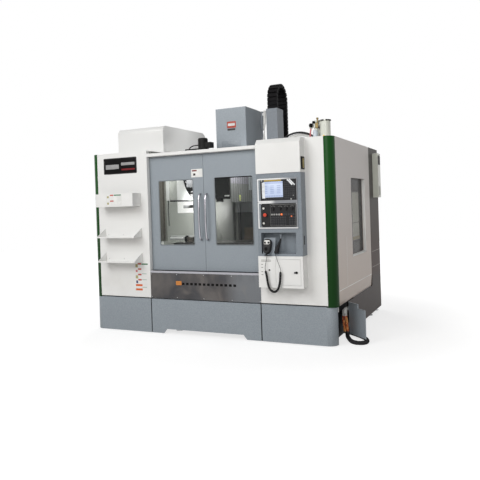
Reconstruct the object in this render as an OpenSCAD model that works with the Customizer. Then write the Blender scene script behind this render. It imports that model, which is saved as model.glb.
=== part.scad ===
// Vertical machining centre in a full splash enclosure.
// X runs to the right, Y to the back, Z up, in millimetres.
// Every place below is given in the layout frame: x from the middle of the enclosure,
// y backwards from its front face, z from the floor. from_layout() then moves the whole
// machine so that the origin lies on the floor under the middle of its bounding box.

/* [Enclosure] */
// Width over the two corner columns
enclosure_w = 3140; // [2900:10:3400]
// Depth from the front face to the rear edge of the side panels
enclosure_d = 1658; // [1600:2:1800]
// Height of the panels above the floor
enclosure_h = 2200; // [2180:5:2260]
// Outside radius of the green corner columns
corner_r = 96; // [70:2:120]
// Thickness of the sheet metal
sheet_t = 3; // [2:0.5:4]
// Lower edge of the front panels
front_panel_z = 428; // [420:1:440]
// Lower edge of the side panels
side_panel_z = 411; // [400:1:425]
// Height of the crease above the lower edge of a side panel
side_fold_h = 157; // [120:1:200]
// How far the band below that crease leans inwards
side_fold_in = 12; // [4:1:20]
// Width of the left cabinet, column included
left_cabinet_w = 841; // [800:1:900]
// Width of the loading opening between the front panels
opening_w = 1447; // [1420:1:1480]

/* [Skirt] */
// Upper edge of the skirt
skirt_top = 415; // [405:1:418]
// Gap between the skirt and the floor
skirt_bottom = 8; // [4:1:20]
// Width of the seams between the three skirt panels
skirt_seam = 12; // [6:1:20]
// How far the right end of the skirt stays inside the column
skirt_inset = 20; // [0:1:30]
// Height of the long cut-out under the middle of the skirt
cutout_h = 52; // [30:1:80]
// Length of that cut-out along the floor
cutout_w = 1090; // [900:10:1200]
// Slope of the ends of the cut-out, sideways
cutout_slope = 42; // [20:1:60]

/* [Doors] */
// How far the doors lie behind the front face
door_recess = 62; // [58:1:70]
// Thickness of a folded door panel
door_t = 28; // [22:1:34]
// Lower edge of the doors
door_bottom = 757; // [750:1:775]
// Upper edge of the doors
door_top = 2119; // [2100:1:2125]
// Place of the seam where the doors meet, from the left edge of the opening
door_seam = 738; // [719:1:749]
// How far each door reaches behind the panel beside the opening
door_overlap = 22; // [15:1:30]
// Width of a door window
window_w = 473; // [440:1:500]
// Height of a door window
window_h = 768; // [700:2:800]
// Lower edge of the door windows
window_z = 1058; // [1040:1:1090]
// Distance from the door seam to each window
window_gap = 143; // [120:1:160]
// Corner radius of the door windows
window_r = 16; // [8:1:24]
// Thickness of the window panes
pane_t = 6; // [4:0.5:8]
// How far a door slides
door_travel = 630; // [500:5:630]

/* [Door handles] */
// Radius of the handle tube
handle_r = 11; // [8:0.5:14]
// Distance from the door seam to each handle
handle_gap = 43; // [36:1:60]
// Lower end of the handle on the door
handle_low = 1107; // [1080:1:1150]
// Upper end of the handle on the door
handle_high = 1662; // [1600:1:1700]
// Height of the long slanted foot of the handle
handle_foot = 133; // [90:1:160]
// Height of the short slanted head of the handle
handle_head = 62; // [40:1:80]
// How far the handle stands out of the door
handle_reach = 57; // [50:1:62]

/* [Loading sill] */
// Height of the door guide rail above the kick panel
guide_h = 26; // [20:1:28]
// Depth of the door guide rail
guide_d = 44; // [36:1:50]

/* [Control station] */
// Left edge of the control station
station_x = 765; // [755:1:790]
// Width of the control station
station_w = 501; // [480:1:520]
// How far the white boxes stand out of the front panel
station_d = 150; // [130:1:170]
// How far the grey shell stays behind the white boxes
shell_step = 9; // [4:1:16]
// Lower edge of the lower box
lower_box_z = 624; // [600:1:640]
// Lower edge of the grey shell
shell_z = 958; // [950:1:965]
// Upper edge of the grey shell
shell_top = 1833; // [1825:1:1845]
// Chamfer along the top front edge of the upper box
top_chamfer = 50; // [30:1:70]
// Width of the handwheel pocket
pocket_w = 392; // [370:1:410]
// Height of the handwheel pocket
pocket_h = 222; // [200:1:240]
// Depth of the handwheel pocket
pocket_d = 112; // [90:1:120]

/* [Operator panels] */
// Width of the numerical control unit
cnc_w = 405; // [390:1:420]
// Height of the numerical control unit
cnc_h = 220; // [210:1:230]
// Width of the machine operator panel
panel_w = 407; // [390:1:420]
// Height of the machine operator panel
panel_h = 250; // [240:1:260]
// Border of the bright frame around both panels
frame_border = 15; // [10:1:20]
// Gap between the two panels
panel_gap = 30; // [24:1:36]
// Radius of the emergency stop's mushroom cap
stop_r = 20; // [16:1:22]
// How far the emergency stop is pushed in
stop_travel = 6; // [4:0.5:8]
// Radius of the two push buttons
button_r = 11; // [8:0.5:13]
// How far the push buttons travel
button_travel = 4; // [2:0.5:5]
// Radius of the override knobs
knob_r = 16; // [12:0.5:18]

/* [Wall trays] */
// Width of the document tray and the tool shelves
tray_w = 545; // [480:1:600]
// How far they stand out of the cabinet
tray_d = 168; // [140:1:190]
// Height of the document tray
tray_h = 158; // [120:1:180]
// Underside of the document tray
tray_z = 1536; // [1500:1:1560]
// Underside of the upper tool shelf
shelf_high_z = 1157; // [1120:1:1180]
// Underside of the lower tool shelf
shelf_low_z = 858; // [830:1:880]
// Height of the shelf ends at the wall
shelf_end_h = 115; // [80:1:140]
// Height of the lip along a shelf
shelf_lip = 17; // [10:1:25]

/* [Work table] */
// Length of the table
table_w = 1200; // [1100:10:1260]
// Depth of the table
table_d = 500; // [480:10:520]
// Height of the table's surface above the floor
table_z = 1060; // [1050:1:1070]
// Thickness of the table
table_t = 120; // [100:1:140]
// Width of a T-slot at its mouth
slot_w = 18; // [14:1:22]
// Width of a T-slot at its foot
slot_foot_w = 32; // [26:1:36]
// Distance between T-slots
slot_pitch = 100; // [80:1:110]
// Middle of the table at rest, behind the front face
table_y = 590; // [580:1:610]
// Travel of the table to each side
x_travel = 500; // [400:5:520]
// Travel of the saddle forwards and backwards
y_travel = 210; // [150:5:215]

/* [Spindle head] */
// Spindle axis behind the front face
spindle_y = 480; // [470:1:500]
// Lower face of the spindle nose
nose_z = 1557; // [1545:1:1570]
// Radius of the spindle nose
nose_r = 44; // [36:1:50]
// Width of the head
head_w = 430; // [410:2:440]
// Front face of the head, ahead of the spindle axis
head_front = 168; // [150:1:180]
// Underside of the head
head_z = 1604; // [1595:1:1615]
// Upper face of the head
head_top = 2205; // [2190:1:2215]
// Width of the sheet cover on the head
cover_w = 426; // [400:2:440]
// Depth of that cover
cover_d = 518; // [480:2:520]
// Top of that cover
cover_top = 2757; // [2700:1:2800]
// Travel of the head downwards
z_travel = 430; // [350:5:440]

/* [Column and bed] */
// Width of the column at its foot
column_w = 820; // [760:5:860]
// Width of the column at its top
column_top_w = 620; // [600:5:680]
// Depth of the column
column_d = 480; // [420:5:500]
// Front face of the column, behind the front face of the enclosure
column_y = 1412; // [1405:1:1420]
// Top of the column
column_top = 2330; // [2300:5:2360]
// Width of the bed
bed_w = 1000; // [940:5:1060]
// Top of the bed
bed_z = 620; // [610:1:630]
// Clearance under the bed
foot_h = 60; // [50:1:70]

/* [Tool magazine] */
// Front face of the magazine hood
hood_y = 570; // [560:1:600]
// Width of the hood
hood_w = 720; // [680:1:740]
// Length of the hood, front to back
hood_l = 1160; // [1120:1:1180]
// Top of the hood
hood_top = 2580; // [2560:1:2620]
// Radius of the hood's front edge
hood_front_r = 70; // [40:1:90]
// Radius of the hood's rear edge
hood_rear_r = 120; // [80:1:150]
// Number of tool pots
pots = 24; // [16:2:24]
// Radius of the circle of pots
pot_circle_r = 348; // [330:1:352]
// Radius of one pot
pot_r = 36; // [28:1:38]
// Half length of the change arm
arm_l = 300; // [280:1:320]
// Stroke of the change arm downwards
arm_stroke = 110; // [80:1:120]

/* [Cable chain] */
// Width of the chain
chain_w = 134; // [120:1:140]
// Height of a chain link
chain_h = 50; // [40:1:60]
// Radius of the bend along the links' pins
chain_r = 175; // [160:1:180]
// Length of one link
link_l = 50; // [40:1:60]

/* [Electrical cabinet] */
// Width of the electrical cabinet
cabinet_w = 1060; // [1000:5:1065]
// Depth of the cabinet body
cabinet_d = 522; // [500:1:540]
// Clearance under the cabinet
cabinet_z = 55; // [55:1:70]
// Thickness of the cabinet door
cabinet_door_t = 22; // [18:1:26]

/* [Side window] */
// Front edge of the window in the right side panel
side_window_y = 712; // [690:1:730]
// Length of that window
side_window_l = 690; // [640:1:710]
// Lower edge of that window
side_window_z = 872; // [850:1:890]
// Height of that window
side_window_h = 910; // [860:1:940]
// Depth of the frame around that window
side_window_reveal = 38; // [20:1:44]
// Slope of that frame, wider on the outer side
side_window_slope = 20; // [5:1:30]

/* [Side access door] */
// Hinge line of the door behind the front face
access_y = 447; // [430:1:460]
// Length of the door
access_l = 332; // [300:1:336]
// Lower edge of the door
access_z = 56; // [54:1:70]
// Upper edge of the door at its hinge
access_top = 406; // [390:1:408]
// Drop of the step in its upper edge
access_step = 46; // [30:1:60]
// Angle at which the door stands open
access_open = 46.5; // [30:0.5:60]

/* [Hidden] */

$fn = 48;
// Gap that keeps two pieces apart where one rests against the other
seat = 0.3;
// Running gap beside a piece that moves
run = 5;

side_x = enclosure_w / 2;
face_x = side_x - corner_r;
opening_left = -side_x + left_cabinet_w;
opening_right = opening_left + opening_w;
door_seam_x = opening_left + door_seam;
// What hangs on the right side moves with it when the enclosure is made wider
side_shift = side_x - 1570;

cabinet_y = enclosure_d + 10;
cabinet_back = cabinet_y + cabinet_d;
cabinet_left = side_x - cabinet_w;
machine_back = cabinet_back + 2 + cabinet_door_t;
access_tip_x = side_x + access_l * sin(access_open);
tray_front = -tray_d;
gland_y = -(station_d + 14);
machine_front = -(station_d + 42);

mid_x = (access_tip_x - side_x) / 2;
mid_y = (machine_front + machine_back) / 2;

white = [0.91, 0.91, 0.90];
grey = [0.56, 0.59, 0.62];
green = [0.05, 0.30, 0.09];
dark = [0.33, 0.31, 0.29];
steel = [0.75, 0.76, 0.77];
black = [0.06, 0.06, 0.07];
iron = [0.45, 0.47, 0.49];

module from_layout() translate([-mid_x, -mid_y, 0]) children();

// A box between two values on each axis
module block(x, y, z)
    translate([x[0], y[0], z[0]])
        cube([x[1] - x[0], y[1] - y[0], z[1] - z[0]]);

// A flat outline in y and z, carried along x
module along_x(x) translate([x[0], 0, 0]) rotate([90, 0, 90]) linear_extrude(x[1] - x[0]) children();

// A flat outline in x and z, carried along y
module along_y(y) translate([0, y[1], 0]) rotate([90, 0, 0]) linear_extrude(y[1] - y[0]) children();

module round_rect(w, h, r) {
    translate([r, 0]) square([w - 2 * r, h]);
    translate([0, r]) square([w, h - 2 * r]);
    for (x = [r, w - r], y = [r, h - r]) translate([x, y]) circle(r);
}

// A turned piece whose axis points to the front, its back at y and its middle at x and z
module facing(x, y, z) translate([x, y, z]) rotate([90, 0, 0]) children();

// Feet and bed

bed_front = 150;
bed_back = column_y + column_d + 10;
foot_r = 45;
stud_r = 12;
foot_flange = 12;
beam = 60;
bed_wall = 40;
bed_feet = [for (x = [-1, 1], y = [bed_front + 80, (bed_front + bed_back) / 2, bed_back - 80])
    [x * (bed_w / 2 - bed_wall / 2), y, foot_h]];
frame_feet = [for (p = [[-face_x + 30, corner_r - 10], [face_x - 30, corner_r - 10], [foot_r + sheet_t + 2 - side_x, enclosure_d - 80]])
    [p[0], p[1], side_panel_z - beam]];
cabinet_feet = [for (x = [cabinet_left + 70, side_x - 70], y = [cabinet_y + 70, cabinet_back - 70])
    [x, y, cabinet_z]];

module foot(h) {
    cylinder(r = foot_r, h = foot_flange);
    cylinder(r = stud_r, h = h - seat);
    translate([0, 0, foot_flange]) cylinder(r = 2 * stud_r, h = foot_flange, $fn = 6);
}

module levelling_feet() color(steel) from_layout()
    for (p = concat(bed_feet, frame_feet, cabinet_feet)) translate([p[0], p[1], 0]) foot(p[2]);

rail_h = 38;
rail_w = 45;
rail_x = 320;

module base_casting() color(iron) from_layout() {
    difference() {
        block([-bed_w / 2, bed_w / 2], [bed_front, bed_back], [foot_h, bed_z]);
        // cored pockets between the ribs, open to the floor
        for (x = [-1, 1], i = [0 : 2])
            translate([x * bed_w / 4, bed_front + 140 + i * (bed_back - bed_front - 160) / 3, foot_h - 1])
                translate([-bed_w / 4 + bed_wall, 0, 0])
                    cube([bed_w / 2 - 2 * bed_wall, (bed_back - bed_front - 160) / 3 - bed_wall,
                        bed_z - foot_h - 2 * bed_wall]);
    }
    for (s = [-1, 1]) block([s * rail_x - rail_w / 2, s * rail_x + rail_w / 2],
        [bed_front + 10, column_y - 60], [bed_z, bed_z + rail_h]);
}

tank_h = 330;
module coolant_tank() color(grey) from_layout() {
    x0 = -side_x + 130;
    x1 = -bed_w / 2 + bed_wall / 2 - foot_r - seat;
    y0 = 700;
    y1 = cabinet_back - 40;
    difference() {
        block([x0, x1], [y0, y1], [0, tank_h]);
        block([x0 + sheet_t, x1 - sheet_t], [y0 + sheet_t, y1 - sheet_t], [sheet_t, tank_h + 1]);
    }
    // return lip that meets the side of the bed
    block([x1 - 1, -bed_w / 2 - seat], [y0 + 120, y0 + 480], [tank_h - 16, tank_h - 4]);
    // lid over the rear half, with the pump standing on it
    block([x0, x1], [enclosure_d + 60, y1], [tank_h + seat, tank_h + 6]);
    translate([x0 + 240, y1 - 180, tank_h + 6]) {
        cylinder(r = 95, h = 30);
        cylinder(r = 75, h = 230);
        translate([0, 0, 230]) cylinder(r = 68, h = 40);
        translate([60, -45, 60]) cube([70, 90, 80]);
    }
}

// Skirt

module skirt_sheet(x0, x1) {
    difference() {
        block([x0, x1], [0, sheet_t], [skirt_bottom, skirt_top]);
        translate([-14, 0, 0]) along_y([-1, sheet_t + 1]) polygon([
            [-cutout_w / 2, skirt_bottom - 1],
            [cutout_w / 2, skirt_bottom - 1],
            [cutout_w / 2 - cutout_slope, skirt_bottom + cutout_h],
            [-cutout_w / 2 + cutout_slope, skirt_bottom + cutout_h]]);
    }
    // flange that lies on the lower beam of the frame
    block([x0 + 30, x1 - 8], [0, corner_r - 16], [side_panel_z, side_panel_z + sheet_t]);
}

// A quarter of a tube, its corner at x and bending towards side s
module corner_shell(x, s, r, z) translate([x, r, z[0]]) intersection() {
    difference() {
        cylinder(r = r, h = z[1] - z[0], $fn = 96);
        translate([0, 0, -1]) cylinder(r = r - sheet_t, h = z[1] - z[0] + 2, $fn = 96);
    }
    translate([s > 0 ? 0 : -r, -r, 0]) cube([r, r, z[1] - z[0]]);
}

module front_skirts() color(grey) from_layout() {
    z = [skirt_bottom, skirt_top];
    left_x = -side_x + corner_r;
    skirt_sheet(left_x, opening_left - skirt_seam / 2);
    corner_z = [skirt_bottom, side_panel_z - seat];
    corner_shell(left_x, -1, corner_r, corner_z);
    block([-side_x, -side_x + sheet_t], [corner_r, enclosure_d], corner_z);
    skirt_sheet(opening_left + skirt_seam / 2, opening_right - skirt_seam);
    right_x = side_x - skirt_inset - corner_r;
    skirt_sheet(opening_right, right_x);
    corner_shell(right_x, 1, corner_r, corner_z);
}

// Panels

module front_sheet(x0, x1, edge) {
    block([x0, x1], [0, sheet_t], [front_panel_z, enclosure_h]);
    // return beside the loading opening, in front of the sliding door
    block([edge > 0 ? x1 - sheet_t : x0, edge > 0 ? x1 : x0 + sheet_t],
        [0, door_recess - run], [front_panel_z, enclosure_h]);
    block([x0, x1], [0, 40], [enclosure_h - sheet_t, enclosure_h]);
}

module front_panels() color(white) from_layout() {
    front_sheet(-face_x, opening_left, 1);
    front_sheet(opening_right, face_x, -1);
}

module corner_columns() color(green) from_layout()
    for (s = [-1, 1])
        corner_shell(s * (face_x + seat), s, corner_r - seat, [side_panel_z, enclosure_h]);

module side_sheet(s) {
    fold_z = side_panel_z + side_fold_h;
    x1 = s * side_x;
    x0 = s * (side_x - sheet_t);
    along_y([corner_r + seat, enclosure_d]) polygon([
        [x1, enclosure_h], [x1, fold_z], [x1 - s * side_fold_in, side_panel_z],
        [x0 - s * side_fold_in, side_panel_z], [x0, fold_z], [x0, enclosure_h]]);
}

side_hole = [side_window_y, side_window_y + side_window_l];
side_hole_z = [side_window_z, side_window_z + side_window_h];
// Sloped frame pressed in round the side window, wider on its outer side
module side_funnel(grow, x1) hull() {
    x0 = side_x - sheet_t - side_window_reveal;
    s = side_window_slope + grow;
    block([x1 - 0.1, x1 + (grow > 0 ? 0 : 1)], side_hole + [-s, s], side_hole_z + [-s, s]);
    block([x0, x0 + (grow > 0 ? 0.1 : -0.1)], side_hole + [-grow, grow], side_hole_z + [-grow, grow]);
}
module side_panels() color(white) from_layout() {
    side_sheet(-1);
    difference() {
        union() {
            side_sheet(1);
            side_funnel(sheet_t, side_x - 0.5);
        }
        side_funnel(0, side_x);
        block([side_x - 100, side_x + 1], side_hole, side_hole_z);
    }
}

module side_window() color([0.7, 0.8, 0.8, 0.5]) from_layout()
    block([side_x - sheet_t - side_window_reveal - seat - pane_t, side_x - sheet_t - side_window_reveal - seat],
        side_hole + [-sheet_t, sheet_t], side_hole_z + [-sheet_t, sheet_t]);

rail_z0 = door_top + 4;
rail_z1 = 2160;
roof_z = enclosure_h - sheet_t - seat;
inner_x = side_x - 170;
guard_x = -700;
hood_left = -side_x;
hood_right = hood_left + hood_w;
post = 40;

// Roof sheet from x outwards, rounded to lie inside the corner column
module roof_sheet(s, x) translate([0, 0, roof_z - sheet_t]) {
    z = [0, sheet_t];
    block([min(x, s * face_x), max(x, s * face_x)], [20, enclosure_d], z);
    block([min(s * (face_x - 1), s * (side_x - 4)), max(s * (face_x - 1), s * (side_x - 4))],
        [corner_r + seat, enclosure_d], z);
    intersection() {
        translate([s * face_x, corner_r, 0]) cylinder(r = corner_r - sheet_t - 1, h = sheet_t, $fn = 96);
        block([s > 0 ? face_x - 1 : -side_x, s > 0 ? side_x : 1 - face_x], [20, corner_r + 1], z);
    }
}

// Roof sheets, door header, lower beams and corner posts
module enclosure_frame() color(white) from_layout() {
    // header above the doors, with the rail that they hang from
    block([opening_left + seat, opening_right - seat], [0, sheet_t], [rail_z0, rail_z1]);
    block([opening_left + seat, opening_right - seat], [0, 130], [rail_z1 - sheet_t, rail_z1]);
    block([opening_left + seat, opening_right - seat], [110, 130], [rail_z0, rail_z1]);
    block([-face_x + 30, face_x - 30], [door_recess + 4, door_recess + 24], [door_top + seat, rail_z1 - 1]);
    // left roof sheet, open under the hood and clear of the front panel's return
    difference() {
        roof_sheet(-1, guard_x - seat);
        block([hood_left + 30, hood_right - 16], [hood_y + 30, enclosure_d + 1], [roof_z - 10, roof_z + 1]);
        block([opening_left - sheet_t - seat, 0], [0, door_recess - run + seat], [roof_z - 10, roof_z + 1]);
    }
    roof_sheet(1, opening_right + 6);
    for (s = [-1, 1]) {
        x = s > 0 ? side_x - side_fold_in - sheet_t - seat - beam : -side_x + side_fold_in + sheet_t + seat;
        block([x, x + beam], [corner_r + 4, enclosure_d - 4], [side_panel_z - beam, side_panel_z - seat]);
        px = s > 0 ? face_x - 20 : -face_x + 20 - post;
        block([px, px + post], [corner_r - 40, corner_r], [side_panel_z - seat, roof_z - sheet_t]);
        bx = s > 0 ? side_x - 80 : -side_x + 80 - post;
        block([bx, bx + post], [enclosure_d - 60, enclosure_d - 20], [side_panel_z - seat, roof_z - sheet_t]);
    }
    block([-face_x + 20, face_x - 20], [corner_r - 40, corner_r + 20], [side_panel_z - beam, side_panel_z - seat]);
}

module kick_panel() color(steel) from_layout() {
    guide_z = door_bottom - 3 - guide_h;
    x = [opening_left + seat, opening_right - seat];
    block(x, [2, 2 + sheet_t], [front_panel_z - 2, guide_z]);
    block(x, [2, door_recess + guide_d], [guide_z - sheet_t, guide_z]);
    // grooved guide rail under the doors
    difference() {
        block(x, [door_recess - 8, door_recess - 8 + guide_d], [guide_z + seat, guide_z + guide_h]);
        block([x[0] - 1, x[1] + 1], [door_recess + 4, door_recess + 24],
            [guide_z + guide_h / 2, guide_z + guide_h + 1]);
    }
}

// Inner cabin

liner_y = [door_recess + door_t + 16, column_y - 70];
liner_z = [700, roof_z - sheet_t - seat];
pan_z = 900;
slot_x = [-450, 255];
guard_z = 1597;
guard_y = 440;
carousel_y = 1170;
carousel_z = 2000;
carousel_r = pot_circle_r + pot_r;

module cabin_liner() color([0.82, 0.84, 0.83]) from_layout() {
    t = sheet_t;
    // walls beside the door pockets
    block([-inner_x, opening_left - 6], [liner_y[0], liner_y[0] + t], liner_z);
    block([opening_right + 6, inner_x], [liner_y[0], liner_y[0] + t], liner_z);
    // left and right side walls
    block([-inner_x, -inner_x + t], [liner_y[0] + t + seat, liner_y[1] - seat], [pan_z, guard_z - seat]);
    difference() {
        block([inner_x - t, inner_x], [liner_y[0] + t + seat, liner_y[1] - seat], [pan_z, liner_z[1]]);
        block([inner_x - t - 1, inner_x + 1], side_hole + [-20, -30], side_hole_z + [60, 20]);
    }
    // rear walls beside the head
    block([-inner_x, slot_x[0]], [liner_y[1], liner_y[1] + t], [pan_z - 200, guard_z - seat]);
    block([guard_x + t + seat, slot_x[0]], [liner_y[1], liner_y[1] + t], [guard_z, liner_z[1]]);
    block([slot_x[1], inner_x], [liner_y[1], liner_y[1] + t], [pan_z - 200, head_top - z_travel - 90]);
    block([chain_x[1] + 40, inner_x], [liner_y[1], liner_y[1] + t], [head_top - z_travel - 91, liner_z[1]]);
    // sloping chip pans on both sides of the saddle
    for (s = [-1, 1]) along_y([liner_y[0] + t + seat, liner_y[1] - seat]) polygon([
        [s * inner_x, pan_z - seat], [s * inner_x, pan_z - 6], [s * (bed_w / 2 + 55), bed_z + 30],
        [s * (bed_w / 2 + 4), bed_z + 30], [s * (bed_w / 2 + 4), bed_z + 33], [s * (bed_w / 2 + 55), bed_z + 33]]);
    // guard box around the tool magazine, with a round mouth for the tools
    difference() {
        block([guard_x, guard_x + t], [guard_y, liner_y[1] + t], [guard_z, roof_z - t - seat]);
        translate([guard_x - 1, carousel_y, carousel_z]) rotate([0, 90, 0])
            cylinder(r = carousel_r + 26, h = t + 2, $fn = 96);
    }
    block([-inner_x, guard_x - seat], [guard_y, guard_y + t], [guard_z + t + seat, roof_z - t - seat]);
    block([-inner_x, guard_x - seat], [guard_y, liner_y[1] + t], [guard_z, guard_z + t]);
}

// Trays on the left cabinet

tray_x = [-1377, -1377 + tray_w];
module shelf(z) {
    block(tray_x, [tray_front, -seat], [z, z + sheet_t]);
    block(tray_x, [tray_front, tray_front + sheet_t], [z, z + shelf_lip]);
    block(tray_x, [-seat - sheet_t, -seat], [z, z + shelf_end_h]);
    for (x = [tray_x[0], tray_x[1] - sheet_t]) along_x([x, x + sheet_t]) polygon([
        [tray_front, z], [-seat, z], [-seat, z + shelf_end_h], [tray_front, z + shelf_lip]]);
}

module wall_trays() color(white) from_layout() {
    difference() {
        block(tray_x, [tray_front, -seat], [tray_z, tray_z + tray_h]);
        block(tray_x + [sheet_t, -sheet_t], [tray_front + sheet_t, -seat - sheet_t],
            [tray_z + sheet_t, tray_z + tray_h + 1]);
    }
    shelf(shelf_high_z);
    shelf(shelf_low_z);
}

// Electrical cabinet

hinge_r = 6;
access_hinge_z = [130, 310];
cabinet_hinge_z = [400, 1130, 1860];
inlet_at = [700, 1900];
inlet_r = 20.5;
apron_z = [cabinet_z, side_panel_z - 4];
module electrical_cabinet() color(dark) from_layout() {
    x = [cabinet_left, side_x];
    z = [cabinet_z, enclosure_h];
    difference() {
        block(x, [cabinet_y, cabinet_back], z);
        block(x + [20, -20], [cabinet_y + sheet_t, cabinet_back + 1], z + [20, -20]);
        translate([inlet_at[0], inlet_at[1], z[1] - 21]) cylinder(r = inlet_r, h = 22);
    }
    // mounting plate with drives, breakers and wiring ducts
    block(x + [60, -60], [cabinet_y + sheet_t, cabinet_y + 24], z + [60, -60]);
    for (i = [0 : 3]) block([x[0] + 130 + i * 120, x[0] + 220 + i * 120], [cabinet_y + 24, cabinet_y + 210], [1480, 1860]);
    for (i = [0 : 8]) block([x[0] + 130 + i * 62, x[0] + 175 + i * 62], [cabinet_y + 24, cabinet_y + 100], [1120, 1210]);
    for (h = [980, 1300, 1960]) block(x + [90, -90], [cabinet_y + 24, cabinet_y + 84], [h, h + 60]);
    block([x[0] + 180, x[0] + 560], [cabinet_y + 24, cabinet_y + 300], [160, 460]);
    // apron under the side panel, from the access door to the cabinet
    block([side_x - sheet_t, side_x], [access_y + hinge_r + 1, cabinet_y - seat], apron_z);
    block([side_x - 40, side_x - sheet_t + 1], [enclosure_d - 60, cabinet_y - seat], [cabinet_z, side_panel_z - beam - seat]);
    for (z = access_hinge_z) {
        translate([side_x, access_y, z - 20]) cylinder(r = hinge_r, h = 20 - seat);
        block([side_x - sheet_t, side_x], [access_y, access_y + hinge_r + 2], [z - 20, z - seat]);
    }
    // hinge halves of the rear door
    for (h = cabinet_hinge_z) {
        translate([side_x - 11, cabinet_back + 2 + cabinet_door_t - 3, h - 40]) cylinder(r = 7, h = 40 - seat);
        block([side_x - 16, side_x - 6], [cabinet_back - 1, cabinet_back + cabinet_door_t - 1], [h - 40, h - seat]);
    }
}

switch_x = cabinet_left + 180;
switch_z = 1500;
module cabinet_door() color(dark) from_layout() {
    y = [cabinet_back + 2, cabinet_back + 2 + cabinet_door_t];
    x = [cabinet_left + 4, side_x - 4];
    z = [cabinet_z + 6, enclosure_h - 6];
    difference() {
        block(x, y, z);
        block(x + [sheet_t, -sheet_t], [y[0] - 1, y[1] - sheet_t], z + [sheet_t, -sheet_t]);
        translate([switch_x, y[1] + 1, switch_z]) rotate([90, 0, 0]) cylinder(r = 14, h = 20);
        for (h = cabinet_hinge_z) block([x[1] - 16, x[1] + 1], [y[0] - 1, y[1] + 1], [h - 42, h]);
        // air slots low in the door
        for (i = [0 : 7]) block([x[1] - 420, x[1] - 120], [y[1] - 10, y[1] + 1], [300 + i * 24, 308 + i * 24]);
    }
    // closed face of the lock
    block([x[0] + 30, x[0] + 60], [y[1] - seat, y[1] + 6], [1060, 1180]);
    // barrels of the hinges
    for (h = cabinet_hinge_z) translate([x[1] - 7, y[1] - 3, h]) cylinder(r = 7, h = 90);
}

module main_switch() color([0.8, 0.1, 0.08]) from_layout()
    translate([switch_x, cabinet_back + 2 + cabinet_door_t + seat, switch_z]) rotate([-90, 0, 0]) {
        cylinder(r = 32, h = 5);
        translate([-8, -28, 0]) cube([16, 56, 26]);
        translate([0, 0, -12]) cylinder(r = 13, h = 14);
    }

cooler_y = [1880, 2030];
module cabinet_cooler() color([0.86, 0.88, 0.86]) from_layout() difference() {
    block([side_x + seat, side_x + 74], cooler_y, [1548, 2134]);
    for (i = [0 : 8]) block([side_x + 62, side_x + 75], cooler_y + [24, -24], [1998 + i * 13, 2005 + i * 13]);
    for (i = [0 : 8]) block([side_x + 62, side_x + 75], cooler_y + [24, -24], [1580 + i * 13, 1587 + i * 13]);
}

// Tool magazine

module hood_outline(inset) {
    y0 = hood_y + inset;
    y1 = hood_y + hood_l - inset;
    z1 = hood_top - inset;
    r0 = hood_front_r - inset;
    r1 = hood_rear_r - inset;
    translate([y0, enclosure_h - 2]) square([y1 - y0, z1 - r1 - enclosure_h + 2]);
    translate([y0, enclosure_h]) square([y1 - y0 - r1, z1 - r0 - enclosure_h]);
    translate([y0 + r0, z1 - r1 - 1]) square([y1 - y0 - r0 - r1, r1 + 1]);
    translate([y0 + r0, z1 - r0]) circle(r0, $fn = 96);
    translate([y1 - r1, z1 - r1]) circle(r1, $fn = 96);
}

module magazine_hood() color(white) from_layout() intersection() {
    difference() {
        along_x([hood_left, hood_right]) hood_outline(0);
        along_x([hood_left + sheet_t, hood_right - sheet_t]) hood_outline(sheet_t);
    }
    block([hood_left - 1, hood_right + 1], [0, 3000], [enclosure_h + seat, hood_top + 1]);
}

pot_back = hood_right - 275;
disc_t = 24;
pot_l = 120;
hub_r = 70;
pin_r = 34;
module pot_profile() polygon([
    [0, 0], [pot_r, 0], [pot_r, pot_l + 26], [pot_r - 9, pot_l + 32], [pot_r - 9, pot_l + 52], [13, pot_l + 58],
    [13, pot_l + 110], [0, pot_l + 110]]);

module tool_carousel() color([0.25, 0.26, 0.27]) from_layout()
    translate([pot_back, carousel_y, carousel_z]) rotate([0, 90, 0]) {
        difference() {
            union() {
                cylinder(r = pot_circle_r + pot_r / 2, h = disc_t, $fn = 96);
                translate([0, 0, -30]) cylinder(r = hub_r, h = 90);
            }
            translate([0, 0, -31]) cylinder(r = pin_r, h = 100);
            for (i = [0 : 5]) rotate(i * 60) translate([200, 0, disc_t - 9]) cylinder(r = 62, h = 10);
        }
        for (i = [0 : pots - 1]) rotate(i * 360 / pots) translate([pot_circle_r, 0, disc_t - 4])
            rotate_extrude($fn = 24) pot_profile();
    }

// Tool change arm

arm_x = -330;
arm_y = 560;
motor_x = -300;
motor_y = 640;
cam_box_x = [-440, -256];
cam_z = [1750, 2225];
arm_z = 1490;
arm_t = 42;
shaft_r = 32;

module arm_unit() color(black) from_layout() {
    difference() {
        block(cam_box_x, [430, 800], cam_z);
        translate([arm_x, arm_y, cam_z[0] - 1]) cylinder(r = shaft_r + seat, h = arm_stroke + 160);
        block([cam_box_x[0] - 1, cam_box_x[0] + 60], [640, 801], [cam_z[0] - 1, 1880]);
    }
    // arm that carries the unit on the column
    block([cam_box_x[0], cam_box_x[1]], [799, column_y - seat], [1940, 2060]);
    translate([motor_x, motor_y, cam_z[1] - 1]) {
        cylinder(r = 78, h = 14);
        difference() {
            cylinder(r = 63, h = 140);
            for (i = [0 : 23]) rotate(i * 15) translate([61, -2, 30]) cube([6, 4, 80]);
        }
        translate([0, 0, 140]) cylinder(r = 55, h = 8);
        translate([50, -45, 20]) cube([82, 90, 70]);
    }
    // short cable from the motor down to the magazine
    line([[motor_x - 60, motor_y, 2290], [motor_x - 110, motor_y, 2288], [motor_x - 160, motor_y, 2280],
        [motor_x - 196, motor_y, 2258], [motor_x - 205, motor_y, 2220]], 7);
    block([motor_x - 225, motor_x - 185], [motor_y - 20, motor_y + 20], [2150, 2228]);
    block([motor_x - 225, cam_box_x[0] + 1], [motor_y - 20, motor_y + 20], [2150, 2180]);
}

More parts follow.
